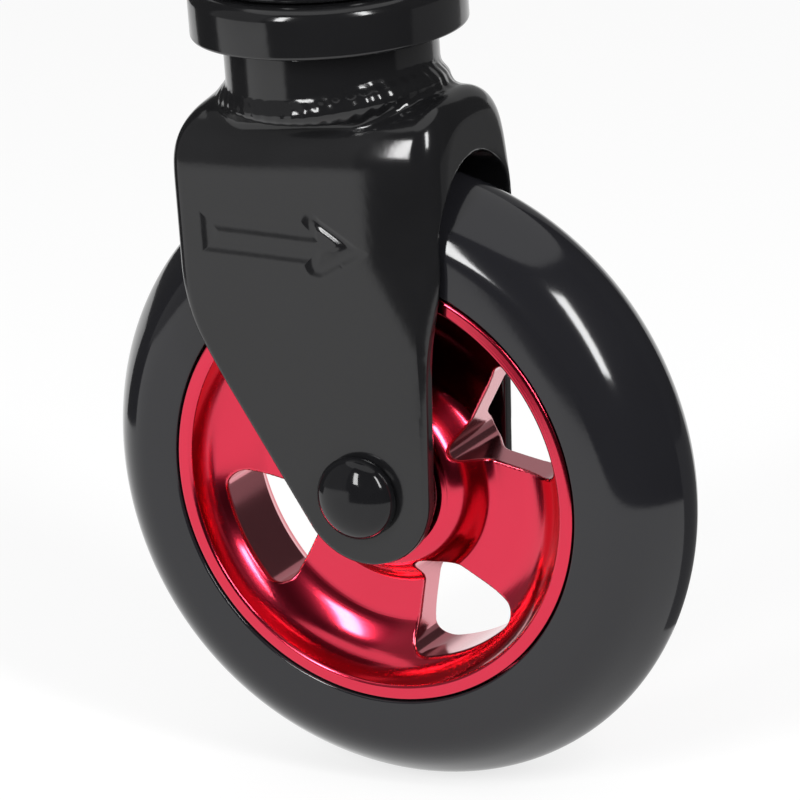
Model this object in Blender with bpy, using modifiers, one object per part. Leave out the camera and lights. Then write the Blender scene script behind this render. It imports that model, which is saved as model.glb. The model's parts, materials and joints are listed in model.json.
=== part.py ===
"""Front end of a stunt scooter: head tube, threaded headset, fork and 110 mm wheel.

The wheel rolls on the ground at the origin. +X is forward, +Z is up and the axle lies
along Y. The fork turns about the upright steering axis, and the wheel about the axle.
"""
import math

import bmesh
import bpy
from mathutils import Matrix, Vector

MM = 0.001

# Clearances
GAP = 0.3 * MM
BALL_GAP = 0.2 * MM

# Facets of turned pieces
STEPS_WHEEL = 44
STEPS_TUBE = 28
STEPS_SMALL = 20
BALL_SEGMENTS = 6
BALL_RINGS = 4
WELD_STEPS = 6

# A cutter's length, as a share of what it cuts through
CUTTER_REACH = 1.2

# Wheel
TYRE_RADIUS = 55 * MM
TYRE_WIDTH = 23.6 * MM
TYRE_SHOULDER_RADIUS = 46.5 * MM
TREAD_EXPONENT = 1.35
TREAD_POINTS = 10
RIM_RADIUS = 38.0 * MM
RIM_INSET = 0.1 * MM
RIM_EDGE = 0.5 * MM
RIM_RIB_HEIGHT = 2.0 * MM
RIM_RIB_WIDTH = 8.0 * MM
VALLEY_RADIUS = 11.4 * MM
VALLEY_INSET = 13.6 * MM
WEB_THICKNESS = 6.0 * MM
HUB_WALL = 1.6 * MM
HUB_FLARE = 6.8 * MM
HUB_LIP = 0.5 * MM
HUB_FOOT_PULL = 0.37
HUB_TOP_PULL = 0.47
WINDOW_COUNT = 4
WINDOW_ANGLE = math.radians(24)
WINDOW_HALF_ANGLE = math.radians(36)
WINDOW_HUB_STEP = 0.7 * MM
WINDOW_RIM_WALL = 5.8 * MM
WINDOW_INNER_CORNER = 2.0 * MM
WINDOW_OUTER_CORNER = 3.2 * MM

# Wheel bearings
AXLE_RADIUS = 4.0 * MM
BEARING_RADIUS = 11.0 * MM
BEARING_WIDTH = 7.0 * MM
BEARING_SPREAD = 6.0 * MM
RING_WALL = 1.5 * MM
BALL_RADIUS = 1.98 * MM
BALL_COUNT = 7
CAGE_WIDTH = 2.0 * MM
CAGE_WALL = 1.0 * MM
SHIELD_THICKNESS = 0.4 * MM
SHIELD_INSET = 0.3 * MM
SPACER_WALL = 1.9 * MM

# Fork
STEERING_X = -8.0 * MM
LEG_THICKNESS = 3.0 * MM
LEG_GAP = 25.4 * MM
LEG_END_RADIUS = 12.5 * MM
LEG_END_SHIFT = 0.4 * MM
LEG_FRONT_LEAN = math.radians(3.3)
LEG_REAR_LEAN = math.radians(30.9)
LEG_REAR_BEND = 25.0 * MM
YOKE_FRONT_X = 18.0 * MM
YOKE_REAR_X = -32.5 * MM
YOKE_FLARE_LOW = 26.0 * MM
YOKE_FLARE_HIGH = 40.0 * MM
YOKE_FLARE_RADIUS = 20.0 * MM
YOKE_TOP_THICKNESS = 10.5 * MM
YOKE_TOP_SLOPE = math.radians(0.6)
YOKE_TOP_PLAY = 0.2 * MM
YOKE_FRONT_CORNER = 9.0 * MM
YOKE_REAR_CORNER = 10.0 * MM
YOKE_SHOULDER = 8.0 * MM
YOKE_FRONT_EDGE = 3.0 * MM
YOKE_REAR_EDGE = 2.0 * MM
TYRE_CLEARANCE = 1.8 * MM
ARROW_LENGTH = 27.4 * MM
ARROW_HEAD_LENGTH = 7.7 * MM
ARROW_HEAD_WIDTH = 8.6 * MM
ARROW_SHAFT_WIDTH = 3.9 * MM
ARROW_TIP_X = 2.1 * MM
ARROW_DROP = 24.0 * MM
ARROW_TILT = math.radians(2.3)
ARROW_GROOVE_WIDTH = 1.6 * MM
ARROW_GROOVE_DEPTH = 0.4 * MM

# Steerer, neck and headset
STEERER_RADIUS = 14.3 * MM
STEERER_WALL = 2.3 * MM
STEERER_LENGTH = 178.0 * MM
STEERER_SEAT_DEPTH = 3.3 * MM
STEERER_CHAMFER = 0.6 * MM
NECK_RADIUS = 18.2 * MM
NECK_HEIGHT = 8.6 * MM
SADDLE_DEPTH = 4.2 * MM
WELD_WIDTH = 1.9 * MM
WELD_HALF_HEIGHT = 2.1 * MM
WELD_SIDE_DROP = 1.2 * MM
CUP_RADIUS = 23.5 * MM
CUP_HEIGHT = 8.55 * MM
CUP_WALL = 2.2 * MM
CUP_EDGE = 1.5 * MM
CUP_RISE = 0.65 * MM
SPIGOT_LENGTH = 9.0 * MM
SPIGOT_CHAMFER = 0.5 * MM
HEAD_TUBE_RADIUS = 20.5 * MM
HEAD_TUBE_BORE = 17.0 * MM
HEAD_TUBE_LENGTH = 99.85 * MM
HEAD_TUBE_CHAMFER = 0.5 * MM
STEERER_CLEARANCE = 1.3 * MM
HEADSET_BALL_RADIUS = 1.98 * MM
HEADSET_BALL_COUNT = 20
HEADSET_PITCH_RADIUS = 17.8 * MM
RACE_HEIGHT = 5.7 * MM
CONE_RADIUS = 20.0 * MM
CONE_COLLAR = 3.8 * MM
CONE_COVER_RADIUS = 22.6 * MM
CONE_COVER = 2.4 * MM
WASHER_THICKNESS = 1.6 * MM
WASHER_RADIUS = 20.0 * MM
NUT_ACROSS_FLATS = 36.0 * MM
NUT_HEIGHT = 8.0 * MM
NUT_CHAMFER = 1.2 * MM

# Axle hardware
DOME_RADIUS = 7.3 * MM
DOME_HEIGHT = 4.8 * MM
DOME_RIM = 0.6 * MM
AXLE_END_INSET = 0.5 * MM
SCREW_RADIUS = 3.0 * MM
SCREW_LENGTH = 13.0 * MM
SCREW_BORE_DEPTH = 17.0 * MM
SCREW_HEAD_RADIUS = 6.0 * MM
SCREW_HEAD_HEIGHT = 3.6 * MM
SCREW_HEAD_RIM = 0.7 * MM
SCREW_SOCKET_ACROSS_FLATS = 4.0 * MM
SCREW_SOCKET_DEPTH = 2.3 * MM
AXLE_WASHER_RADIUS = 7.0 * MM
AXLE_WASHER_THICKNESS = 1.0 * MM

# Places that follow from the sizes above
AXLE_Z = TYRE_RADIUS
BEARING_INNER_FACE = BEARING_SPREAD / 2
BEARING_OUTER_FACE = BEARING_INNER_FACE + BEARING_WIDTH
BEARING_MIDDLE = BEARING_INNER_FACE + BEARING_WIDTH / 2
RING_BORE = AXLE_RADIUS + GAP
PITCH_RADIUS = (RING_BORE + RING_WALL + GAP + BEARING_RADIUS - RING_WALL) / 2
HUB_RADIUS = BEARING_RADIUS + GAP + HUB_WALL
HUB_FOOT_RADIUS = HUB_RADIUS + HUB_FLARE
VALLEY_CENTRE_RADIUS = RIM_RADIUS - VALLEY_INSET
WINDOW_APEX = HUB_RADIUS + WINDOW_HUB_STEP
WINDOW_OUTER_RADIUS = RIM_RADIUS - WINDOW_RIM_WALL
LEG_INNER_FACE = LEG_GAP / 2
LEG_OUTER_FACE = LEG_INNER_FACE + LEG_THICKNESS
ROOF_Z = AXLE_Z + TYRE_RADIUS + TYRE_CLEARANCE
YOKE_TOP_Z = ROOF_Z + YOKE_TOP_THICKNESS
ARROW_Z = YOKE_TOP_Z - ARROW_DROP
NECK_BASE_Z = YOKE_TOP_Z + GAP
NECK_TOP_Z = NECK_BASE_Z + NECK_HEIGHT
RACE_BASE_Z = NECK_TOP_Z + GAP
RACE_TOP_Z = RACE_BASE_Z + RACE_HEIGHT
CUP_BASE_Z = RACE_BASE_Z + CUP_RISE
CUP_TOP_Z = CUP_BASE_Z + CUP_HEIGHT
HEAD_TUBE_BASE_Z = CUP_TOP_Z + GAP
HEAD_TUBE_TOP_Z = HEAD_TUBE_BASE_Z + HEAD_TUBE_LENGTH
UPPER_RIM_Z = HEAD_TUBE_TOP_Z + HEAD_TUBE_BASE_Z - CUP_BASE_Z
COVER_BASE_Z = UPPER_RIM_Z + GAP
CONE_TOP_Z = COVER_BASE_Z + CONE_COVER + CONE_COLLAR
WASHER_BASE_Z = CONE_TOP_Z + GAP
NUT_BASE_Z = WASHER_BASE_Z + WASHER_THICKNESS + GAP
STEERER_BASE_Z = YOKE_TOP_Z - STEERER_SEAT_DEPTH + GAP
STEERER_TOP_Z = STEERER_BASE_Z + STEERER_LENGTH
STEERER_SEAT_RADIUS = STEERER_RADIUS + GAP
STEERER_BORE = STEERER_RADIUS - STEERER_WALL

for old in list(bpy.data.objects):
    bpy.data.objects.remove(old, do_unlink=True)

parts = bpy.data.collections.new("stunt_scooter_front_end")
cutters = bpy.data.collections.new("cutters")
bpy.context.scene.collection.children.link(parts)
bpy.context.scene.collection.children.link(cutters)


def paint(name, colour, roughness, metallic=0.0):
    """A Principled material in one colour."""
    material = bpy.data.materials.new(name)
    material.use_nodes = True
    shader = material.node_tree.nodes["Principled BSDF"]
    shader.inputs["Base Color"].default_value = (*colour, 1.0)
    shader.inputs["Roughness"].default_value = roughness
    shader.inputs["Metallic"].default_value = metallic
    return material


BLACK_COAT = paint("gloss_black_coat", (0.008, 0.008, 0.009), 0.22)
RED_CORE = paint("anodised_red_core", (0.62, 0.02, 0.05), 0.28, 1.0)
TYRE_BLACK = paint("black_urethane", (0.018, 0.018, 0.022), 0.34)
BLACK_AXLE = paint("black_axle_steel", (0.01, 0.01, 0.011), 0.15)
BRIGHT_STEEL = paint("bright_steel", (0.62, 0.62, 0.63), 0.25, 1.0)
BLACK_STEEL = paint("black_headset_steel", (0.03, 0.03, 0.032), 0.35, 1.0)


def empty(name, location, parent=None):
    """An empty on a joint's axis, which the pieces that turn there hang from."""
    node = bpy.data.objects.new(name, None)
    node.location = location
    bpy.context.scene.collection.objects.link(node)
    if parent:
        hang(node, parent)
    return node


def hang(node, parent):
    """Parent a node to an unturned empty and leave it where it stands."""
    node.parent = parent
    node.matrix_parent_inverse = Matrix.Translation(-parent.location)
    return node


def add(name, mesh, material, parent=None):
    """A finished piece in the collection of parts."""
    node = bpy.data.objects.new(name, mesh)
    mesh.materials.append(material)
    parts.objects.link(node)
    if parent:
        hang(node, parent)
    return node


def make_cutter(name, mesh):
    """A mesh that only cuts or joins, hidden from the render."""
    node = bpy.data.objects.new(name, mesh)
    node.hide_render = True
    node.display_type = "WIRE"
    cutters.objects.link(node)
    return node


def boolean(node, other, operation):
    """Cut, join or intersect a node with another."""
    modifier = node.modifiers.new(other.name, "BOOLEAN")
    modifier.operation = operation
    modifier.object = other
    modifier.solver = "EXACT"


def arc(centre, radius, start, end, steps):
    """Points on an arc, with its angles in degrees."""
    points = []
    for i in range(steps + 1):
        angle = math.radians(start + (end - start) * i / steps)
        points.append((centre[0] + radius * math.cos(angle), centre[1] + radius * math.sin(angle)))
    return points


def bezier(start, pull_start, pull_end, end, steps):
    """Points on a cubic curve."""
    points = []
    for i in range(steps + 1):
        t = i / steps
        weights = ((1 - t) ** 3, 3 * t * (1 - t) ** 2, 3 * t * t * (1 - t), t ** 3)
        corners = (start, pull_start, pull_end, end)
        points.append(tuple(sum(w * p[k] for w, p in zip(weights, corners)) for k in (0, 1)))
    return points


def rounded(corners, steps=6):
    """A closed outline through corners (x, y, radius), each rounded by a tangent arc."""
    points = []
    for i, (x, y, radius) in enumerate(corners):
        corner = Vector((x, y))
        before = (Vector(corners[i - 1][:2]) - corner).normalized()
        after = (Vector(corners[(i + 1) % len(corners)][:2]) - corner).normalized()
        if radius == 0:
            points.append((x, y))
            continue
        half = before.angle(after) / 2
        centre = corner + (before + after).normalized() * radius / math.sin(half)
        first = corner + before * radius / math.tan(half) - centre
        last = corner + after * radius / math.tan(half) - centre
        turn = first.angle_signed(last)
        for k in range(steps + 1):
            spoke = first.copy()
            spoke.rotate(Matrix.Rotation(-turn * k / steps, 2))
            points.append(tuple(centre + spoke))
    return points


def mirrored(profile):
    """A profile turned over along the axis, still running the same way round."""
    return [(r, -h) for r, h in reversed(profile)]


def hexagon(across_flats):
    """A hexagon's corners, the first of them on the X axis."""
    corner = across_flats / math.sqrt(3)
    return [(corner * math.cos(math.tau * i / 6), corner * math.sin(math.tau * i / 6)) for i in range(6)]


def band(outer, inner, low, high):
    """The profile of a plain ring between two radii and two heights."""
    return [(outer, high), (outer, low), (inner, low), (inner, high)]


def turned_mesh(name, profile, closed=True):
    """A Screw modifier's host: the profile's (radius, height) points joined by edges."""
    mesh = bpy.data.meshes.new(name)
    edges = [(i, i + 1) for i in range(len(profile) - 1)]
    if closed:
        edges.append((len(profile) - 1, 0))
    mesh.from_pydata([(r, 0, h) for r, h in profile], edges, [])
    return mesh


def turn(node, steps):
    """Turn a profile about its own Z axis into a solid."""
    screw = node.modifiers.new("Turned", "SCREW")
    screw.axis = "Z"
    screw.angle = math.tau
    screw.steps = steps
    screw.render_steps = steps
    screw.use_merge_vertices = True
    screw.merge_threshold = 0.00001
    screw.use_smooth_shade = True


def on_steering(name, profile, material, parent=None, steps=STEPS_TUBE):
    """A piece turned about the steering axis, with its heights above the ground."""
    node = add(name, turned_mesh(name, profile), material)
    node.location = (STEERING_X, 0, 0)
    turn(node, steps)
    return hang(node, parent) if parent else node


def on_axle(name, profile, material, parent, steps=STEPS_SMALL, closed=True):
    """A piece turned about the axle, with its heights measured along +Y from the middle."""
    node = add(name, turned_mesh(name, profile, closed), material)
    node.location = (0, 0, AXLE_Z)
    node.rotation_euler = (-math.pi / 2, 0, 0)
    turn(node, steps)
    return hang(node, parent)


FLAT = Matrix.Identity(4)
ACROSS = Matrix(((1, 0, 0, 0), (0, 0, -1, 0), (0, 1, 0, 0), (0, 0, 0, 1)))
ALONG = Matrix(((0, 0, 1, 0), (1, 0, 0, 0), (0, 1, 0, 0), (0, 0, 0, 1)))


def prism(name, outline, depth, location=(0, 0, 0), plane=FLAT):
    """A closed mesh: a flat outline extruded by depth, half to each side of its plane.

    Its points are rounded to a tenth of a micrometre, so that faces that two prisms share
    lie in exactly one plane.
    """
    curve = bpy.data.curves.new(name, "CURVE")
    curve.dimensions = "2D"
    curve.fill_mode = "BOTH"
    curve.extrude = depth / 2
    spline = curve.splines.new("POLY")
    spline.points.add(len(outline) - 1)
    spline.use_cyclic_u = True
    for point, (x, y) in zip(spline.points, outline):
        point.co = (round(x, 7), round(y, 7), 0, 1)
    guide = bpy.data.objects.new(name + "_outline", curve)
    cutters.objects.link(guide)
    bpy.context.view_layer.update()
    evaluated = guide.evaluated_get(bpy.context.evaluated_depsgraph_get())
    mesh = bpy.data.meshes.new_from_object(evaluated)
    mesh.transform(Matrix.Translation(location) @ plane)
    bpy.data.objects.remove(guide)
    work = bmesh.new()
    work.from_mesh(mesh)
    bmesh.ops.remove_doubles(work, verts=work.verts, dist=0.000001)
    work.to_mesh(mesh)
    work.free()
    return mesh


def ball_mesh(name, count, pitch_radius, radius):
    """A ring of separate balls about the Z axis."""
    mesh = bpy.data.meshes.new(name)
    work = bmesh.new()
    for i in range(count):
        spot = Matrix.Rotation(math.tau * i / count, 4, "Z") @ Matrix.Translation((pitch_radius, 0, 0))
        bmesh.ops.create_uvsphere(work, u_segments=BALL_SEGMENTS, v_segments=BALL_RINGS,
                                  radius=radius, matrix=spot)
    work.to_mesh(mesh)
    work.free()
    return mesh


def fill_with_balls(cage, count, pitch_radius, radius, height):
    """Join a ring of balls to the cage that spaces them."""
    balls = make_cutter(cage.name + "_balls", ball_mesh(cage.name, count, pitch_radius, radius))
    balls.rotation_euler = cage.rotation_euler
    balls.location = cage.location + cage.rotation_euler.to_matrix() @ Vector((0, 0, height))
    boolean(cage, balls, "UNION")


def tyre(wheel):
    """The urethane tyre: a pointed round tread on flat side walls, keyed to the rim's rib."""
    half_width = TYRE_WIDTH / 2
    power = 2 / TREAD_EXPONENT
    tread = []
    for i in range(TREAD_POINTS + 1):
        angle = math.pi * i / TREAD_POINTS
        side = math.copysign(abs(math.cos(angle)) ** power, math.cos(angle))
        rise = (TYRE_RADIUS - TYRE_SHOULDER_RADIUS) * math.sin(angle) ** power
        tread.append((TYRE_SHOULDER_RADIUS + rise, half_width * side))
    bore = RIM_RADIUS + GAP
    groove = bore + RIM_RIB_HEIGHT
    groove_half = RIM_RIB_WIDTH / 2 + GAP
    seat = [(bore, -half_width), (bore, -groove_half), (groove, -groove_half)]
    seat += [(groove, groove_half), (bore, groove_half), (bore, half_width)]
    on_axle("tyre", tread + seat, TYRE_BLACK, wheel, STEPS_WHEEL)


def valley_side():
    """One side of the wheel core, from the rim's lip down to the floor and up to the hub."""
    face = TYRE_WIDTH / 2 - RIM_INSET
    floor = WEB_THICKNESS / 2
    centre = (VALLEY_CENTRE_RADIUS, floor + VALLEY_RADIUS)
    lip_angle = math.degrees(math.asin((face - centre[1]) / VALLEY_RADIUS))
    lip = [(RIM_RADIUS, face - RIM_EDGE), (RIM_RADIUS - RIM_EDGE, face)]
    sweep = arc(centre, VALLEY_RADIUS, lip_angle, -90, 6)
    hub_top = BEARING_OUTER_FACE - HUB_LIP
    run = HUB_FOOT_RADIUS - HUB_RADIUS
    cone = bezier((HUB_FOOT_RADIUS, floor), (HUB_FOOT_RADIUS - HUB_FOOT_PULL * run, floor),
                  (HUB_RADIUS + HUB_TOP_PULL * run, hub_top), (HUB_RADIUS, hub_top), 5)
    seat = BEARING_RADIUS + GAP
    return lip + sweep + cone + [(HUB_RADIUS, BEARING_OUTER_FACE), (seat, BEARING_OUTER_FACE)]


def window_outline():
    """One opening of the web, a rounded triangle with its sharp end at the hub, on +X."""
    sine = math.sin(WINDOW_HALF_ANGLE)
    cosine = math.cos(WINDOW_HALF_ANGLE)
    reach = WINDOW_OUTER_RADIUS - WINDOW_OUTER_CORNER
    start = WINDOW_APEX + WINDOW_OUTER_CORNER / sine
    along = math.sqrt(reach ** 2 - (start * sine) ** 2) - start * cosine
    corner = (start + along * cosine, along * sine)
    spread = math.degrees(math.atan2(corner[1], corner[0]))
    slope = math.degrees(WINDOW_HALF_ANGLE)
    nose = (WINDOW_APEX + WINDOW_INNER_CORNER / sine, 0)
    outline = arc(nose, WINDOW_INNER_CORNER, 270 - slope, 90 + slope, 6)
    outline += arc(corner, WINDOW_OUTER_CORNER, 90 + slope, spread, 5)
    outline += arc((0, 0), WINDOW_OUTER_RADIUS, spread, -spread, 6)[1:-1]
    outline += arc((corner[0], -corner[1]), WINDOW_OUTER_CORNER, -spread, -90 - slope, 5)
    return outline


def wheel_core(wheel):
    """The aluminium core: rim, web with four openings, and a hub for two bearings."""
    side = valley_side()
    shoulder = BEARING_RADIUS - RING_WALL + GAP
    ledge = BEARING_INNER_FACE - GAP
    seat = BEARING_RADIUS + GAP
    bore = [(seat, -ledge), (shoulder, -ledge), (shoulder, ledge), (seat, ledge)]
    rib = RIM_RADIUS + RIM_RIB_HEIGHT
    half = RIM_RIB_WIDTH / 2
    outside = [(RIM_RADIUS, half), (rib, half), (rib, -half), (RIM_RADIUS, -half)]
    profile = outside + mirrored(side[::-1]) + bore + side[::-1]
    core = on_axle("wheel_core", profile, RED_CORE, wheel, STEPS_WHEEL)
    outline = window_outline()
    for i in range(WINDOW_COUNT):
        angle = -(WINDOW_ANGLE + math.tau * i / WINDOW_COUNT)
        mesh = prism(f"window_{i + 1}", outline, TYRE_WIDTH, plane=ACROSS)
        window = make_cutter(f"window_{i + 1}", mesh)
        window.location = (0, 0, AXLE_Z)
        window.rotation_euler = (0, angle, 0)
        boolean(core, window, "DIFFERENCE")


def bearings(wheel, fork):
    """Two ball bearings with their shields, and the spacer between their inner rings."""
    half_width = BEARING_WIDTH / 2
    inner_land = RING_BORE + RING_WALL + GAP
    outer_land = BEARING_RADIUS - RING_WALL
    race_radius = BALL_RADIUS + BALL_GAP
    inner_bite = math.degrees(math.acos((PITCH_RADIUS - inner_land) / race_radius))
    outer_bite = math.degrees(math.acos((outer_land - PITCH_RADIUS) / race_radius))
    for side, sign in (("left", 1), ("right", -1)):
        centre = sign * BEARING_MIDDLE
        top = centre + half_width
        foot = centre - half_width
        pitch = (PITCH_RADIUS, centre)
        groove = arc(pitch, race_radius, 180 - inner_bite, 180 + inner_bite, 3)
        profile = [(inner_land, top)] + groove + [(inner_land, foot)]
        profile += [(RING_BORE, foot), (RING_BORE, top)]
        on_axle(f"bearing_inner_ring_{side}", profile, BRIGHT_STEEL, fork)
        groove = arc(pitch, race_radius, -outer_bite, outer_bite, 3)
        profile = [(BEARING_RADIUS, top), (BEARING_RADIUS, foot), (outer_land, foot)] + groove
        on_axle(f"bearing_outer_ring_{side}", profile + [(outer_land, top)], BRIGHT_STEEL, wheel)
        profile = band(PITCH_RADIUS + CAGE_WALL / 2, PITCH_RADIUS - CAGE_WALL / 2,
                       centre - CAGE_WIDTH / 2, centre + CAGE_WIDTH / 2)
        cage = on_axle(f"ball_cage_{side}", profile, BRIGHT_STEEL, wheel)
        fill_with_balls(cage, BALL_COUNT, PITCH_RADIUS, BALL_RADIUS, centre)
        for face, outward in (("outer", sign), ("inner", -sign)):
            height = centre + outward * (half_width - SHIELD_INSET - SHIELD_THICKNESS / 2)
            profile = band(outer_land - GAP, inner_land + GAP,
                           height - SHIELD_THICKNESS / 2, height + SHIELD_THICKNESS / 2)
            on_axle(f"bearing_shield_{side}_{face}", profile, BRIGHT_STEEL, wheel)
    spacer_end = BEARING_INNER_FACE - GAP
    profile = band(RING_BORE + SPACER_WALL, RING_BORE, -spacer_end, spacer_end)
    on_axle("bearing_spacer", profile, BRIGHT_STEEL, fork)


def axle(fork):
    """The domed axle sleeve, the screw that closes it, its washer and the two leg spacers."""
    seat = -(LEG_OUTER_FACE + GAP)
    end = LEG_OUTER_FACE - AXLE_END_INSET
    bore = SCREW_RADIUS + GAP
    rise = DOME_HEIGHT - DOME_RIM
    dome = [(DOME_RADIUS * math.cos(t), seat - DOME_RIM - rise * math.sin(t))
            for t in (math.pi / 2 * i / 7 for i in range(7))]
    tip = [(0, seat - DOME_HEIGHT)]
    shank = [(0, end - SCREW_BORE_DEPTH), (bore, end - SCREW_BORE_DEPTH), (bore, end)]
    shank += [(AXLE_RADIUS, end), (AXLE_RADIUS, seat), (DOME_RADIUS, seat)]
    on_axle("axle_sleeve", shank + dome + tip, BLACK_AXLE, fork, closed=False)

    low = LEG_OUTER_FACE + GAP
    high = low + AXLE_WASHER_THICKNESS
    on_axle("axle_washer", band(AXLE_WASHER_RADIUS, bore, low, high), BLACK_AXLE, fork)

    under = high + GAP
    crown = SCREW_HEAD_HEIGHT - SCREW_HEAD_RIM
    head = [(SCREW_HEAD_RADIUS * math.cos(t), under + SCREW_HEAD_RIM + crown * math.sin(t))
            for t in (math.radians(a) for a in (60, 45, 30, 15, 0))]
    profile = [(0, head[0][1])] + head + [(SCREW_HEAD_RADIUS, under), (SCREW_RADIUS, under)]
    profile += [(SCREW_RADIUS, under - SCREW_LENGTH), (0, under - SCREW_LENGTH)]
    screw = on_axle("axle_screw", profile, BLACK_AXLE, fork, closed=False)
    mesh = prism("screw_socket", hexagon(SCREW_SOCKET_ACROSS_FLATS), 2 * SCREW_SOCKET_DEPTH, plane=ACROSS)
    socket = make_cutter("screw_socket", mesh)
    socket.location = (0, head[0][1], AXLE_Z)
    boolean(screw, socket, "DIFFERENCE")

    profile = band(RING_BORE + SPACER_WALL, RING_BORE, BEARING_OUTER_FACE + GAP, LEG_INNER_FACE - GAP)
    on_axle("axle_spacer_left", profile, BRIGHT_STEEL, fork)
    on_axle("axle_spacer_right", mirrored(profile), BRIGHT_STEEL, fork)


def line_at(centre, normal, distance):
    """A straight line in the XZ plane, as its unit normal and offset from the origin."""
    return normal, Vector(normal).dot(Vector(centre)) + distance


def cross(first, second):
    """Where two lines meet."""
    (a, b), p = first
    (c, d), q = second
    determinant = a * d - b * c
    return (p * d - b * q) / determinant, (a * q - p * c) / determinant


def fork_side(grow=0.0):
    """The fork seen from its side: round leg ends, a straight slanted back and a rounded crown.

    The crown's top rises to the front. Grow moves the whole outline outwards.
    """
    centre = (LEG_END_SHIFT, AXLE_Z)
    front_normal = (math.cos(LEG_FRONT_LEAN), -math.sin(LEG_FRONT_LEAN))
    rear_normal = (-math.cos(LEG_REAR_LEAN), -math.sin(LEG_REAR_LEAN))
    end_radius = LEG_END_RADIUS + grow
    front = line_at(centre, front_normal, end_radius)
    rear = line_at(centre, rear_normal, end_radius)
    front_x = YOKE_FRONT_X + grow
    rear_x = YOKE_REAR_X - grow
    top = YOKE_TOP_Z + grow / math.cos(YOKE_TOP_SLOPE)
    rise = math.tan(YOKE_TOP_SLOPE)
    front_top = top + (front_x - STEERING_X) * rise
    rear_top = top + (rear_x - STEERING_X) * rise
    tip = cross(front, rear)
    bend = cross(rear, ((1.0, 0.0), rear_x))
    flare = cross(front, ((0.0, 1.0), AXLE_Z + YOKE_FLARE_LOW))
    corners = [(*tip, end_radius), (*bend, LEG_REAR_BEND + grow)]
    corners += [(rear_x, rear_top, YOKE_REAR_CORNER + grow)]
    corners += [(front_x, front_top, YOKE_FRONT_CORNER + grow)]
    corners += [(front_x, AXLE_Z + YOKE_FLARE_HIGH, YOKE_FLARE_RADIUS)]
    corners += [(*flare, YOKE_FLARE_RADIUS)]
    return rounded(corners, 6)


def shouldered(name, length, grow=0.0):
    """A cutter with the fork's shape from the front: upright sides under two round shoulders.

    It leans with the crown's top, and is a little higher, so that the two tops share no plane.
    """
    side = LEG_OUTER_FACE + grow
    top = YOKE_TOP_PLAY + grow
    foot = -CUTTER_REACH * YOKE_TOP_Z
    corners = [(side, foot, 0), (-side, foot, 0)]
    corners += [(-side, top, YOKE_SHOULDER + grow), (side, top, YOKE_SHOULDER + grow)]
    spot = (STEERING_X, 0, YOKE_TOP_Z)
    leaning = Matrix.Rotation(-YOKE_TOP_SLOPE, 4, "Y") @ ALONG
    return make_cutter(name, prism(name, rounded(corners, 6), length, spot, leaning))


def fork_plan():
    """The fork seen from above, with its upright edges rounded."""
    side = LEG_OUTER_FACE
    corners = [(YOKE_REAR_X, side, YOKE_REAR_EDGE), (YOKE_FRONT_X, side, YOKE_FRONT_EDGE)]
    corners += [(YOKE_FRONT_X, -side, YOKE_FRONT_EDGE), (YOKE_REAR_X, -side, YOKE_REAR_EDGE)]
    return rounded(corners, 3)


def arch_outline():
    """The space for the tyre, seen from the front: open below and half round above."""
    half = LEG_INNER_FACE
    return [(half, 0), (-half, 0)] + arc((0, ROOF_Z - half), half, 180, 0, 14)


def arrow_outline(grow):
    """A plain arrow that points forward and a little down, round its tip's height.

    Grow moves the whole outline outwards.
    """
    spread = math.atan2(ARROW_HEAD_WIDTH / 2, ARROW_HEAD_LENGTH)
    tip = ARROW_TIP_X + grow / math.sin(spread)
    neck = ARROW_TIP_X - ARROW_HEAD_LENGTH - grow
    tail = ARROW_TIP_X - ARROW_LENGTH - grow
    head = (tip - neck) * math.tan(spread)
    shaft = ARROW_SHAFT_WIDTH / 2 + grow
    outline = [(tip, 0), (neck, head), (neck, shaft), (tail, shaft)]
    outline += [(x, -z) for x, z in reversed(outline[1:])]
    return [(x, z + (ARROW_TIP_X - x) * math.tan(ARROW_TILT)) for x, z in outline]


def round_cutter(name, radius, depth, middle, steps=STEPS_TUBE):
    """A cylinder that cuts a round hole, centred on a matrix with its axis along the matrix's Z."""
    work = bmesh.new()
    bmesh.ops.create_cone(work, cap_ends=True, segments=steps, radius1=radius, radius2=radius,
                          depth=depth, matrix=middle)
    mesh = bpy.data.meshes.new(name)
    work.to_mesh(mesh)
    work.free()
    return make_cutter(name, mesh)


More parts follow.
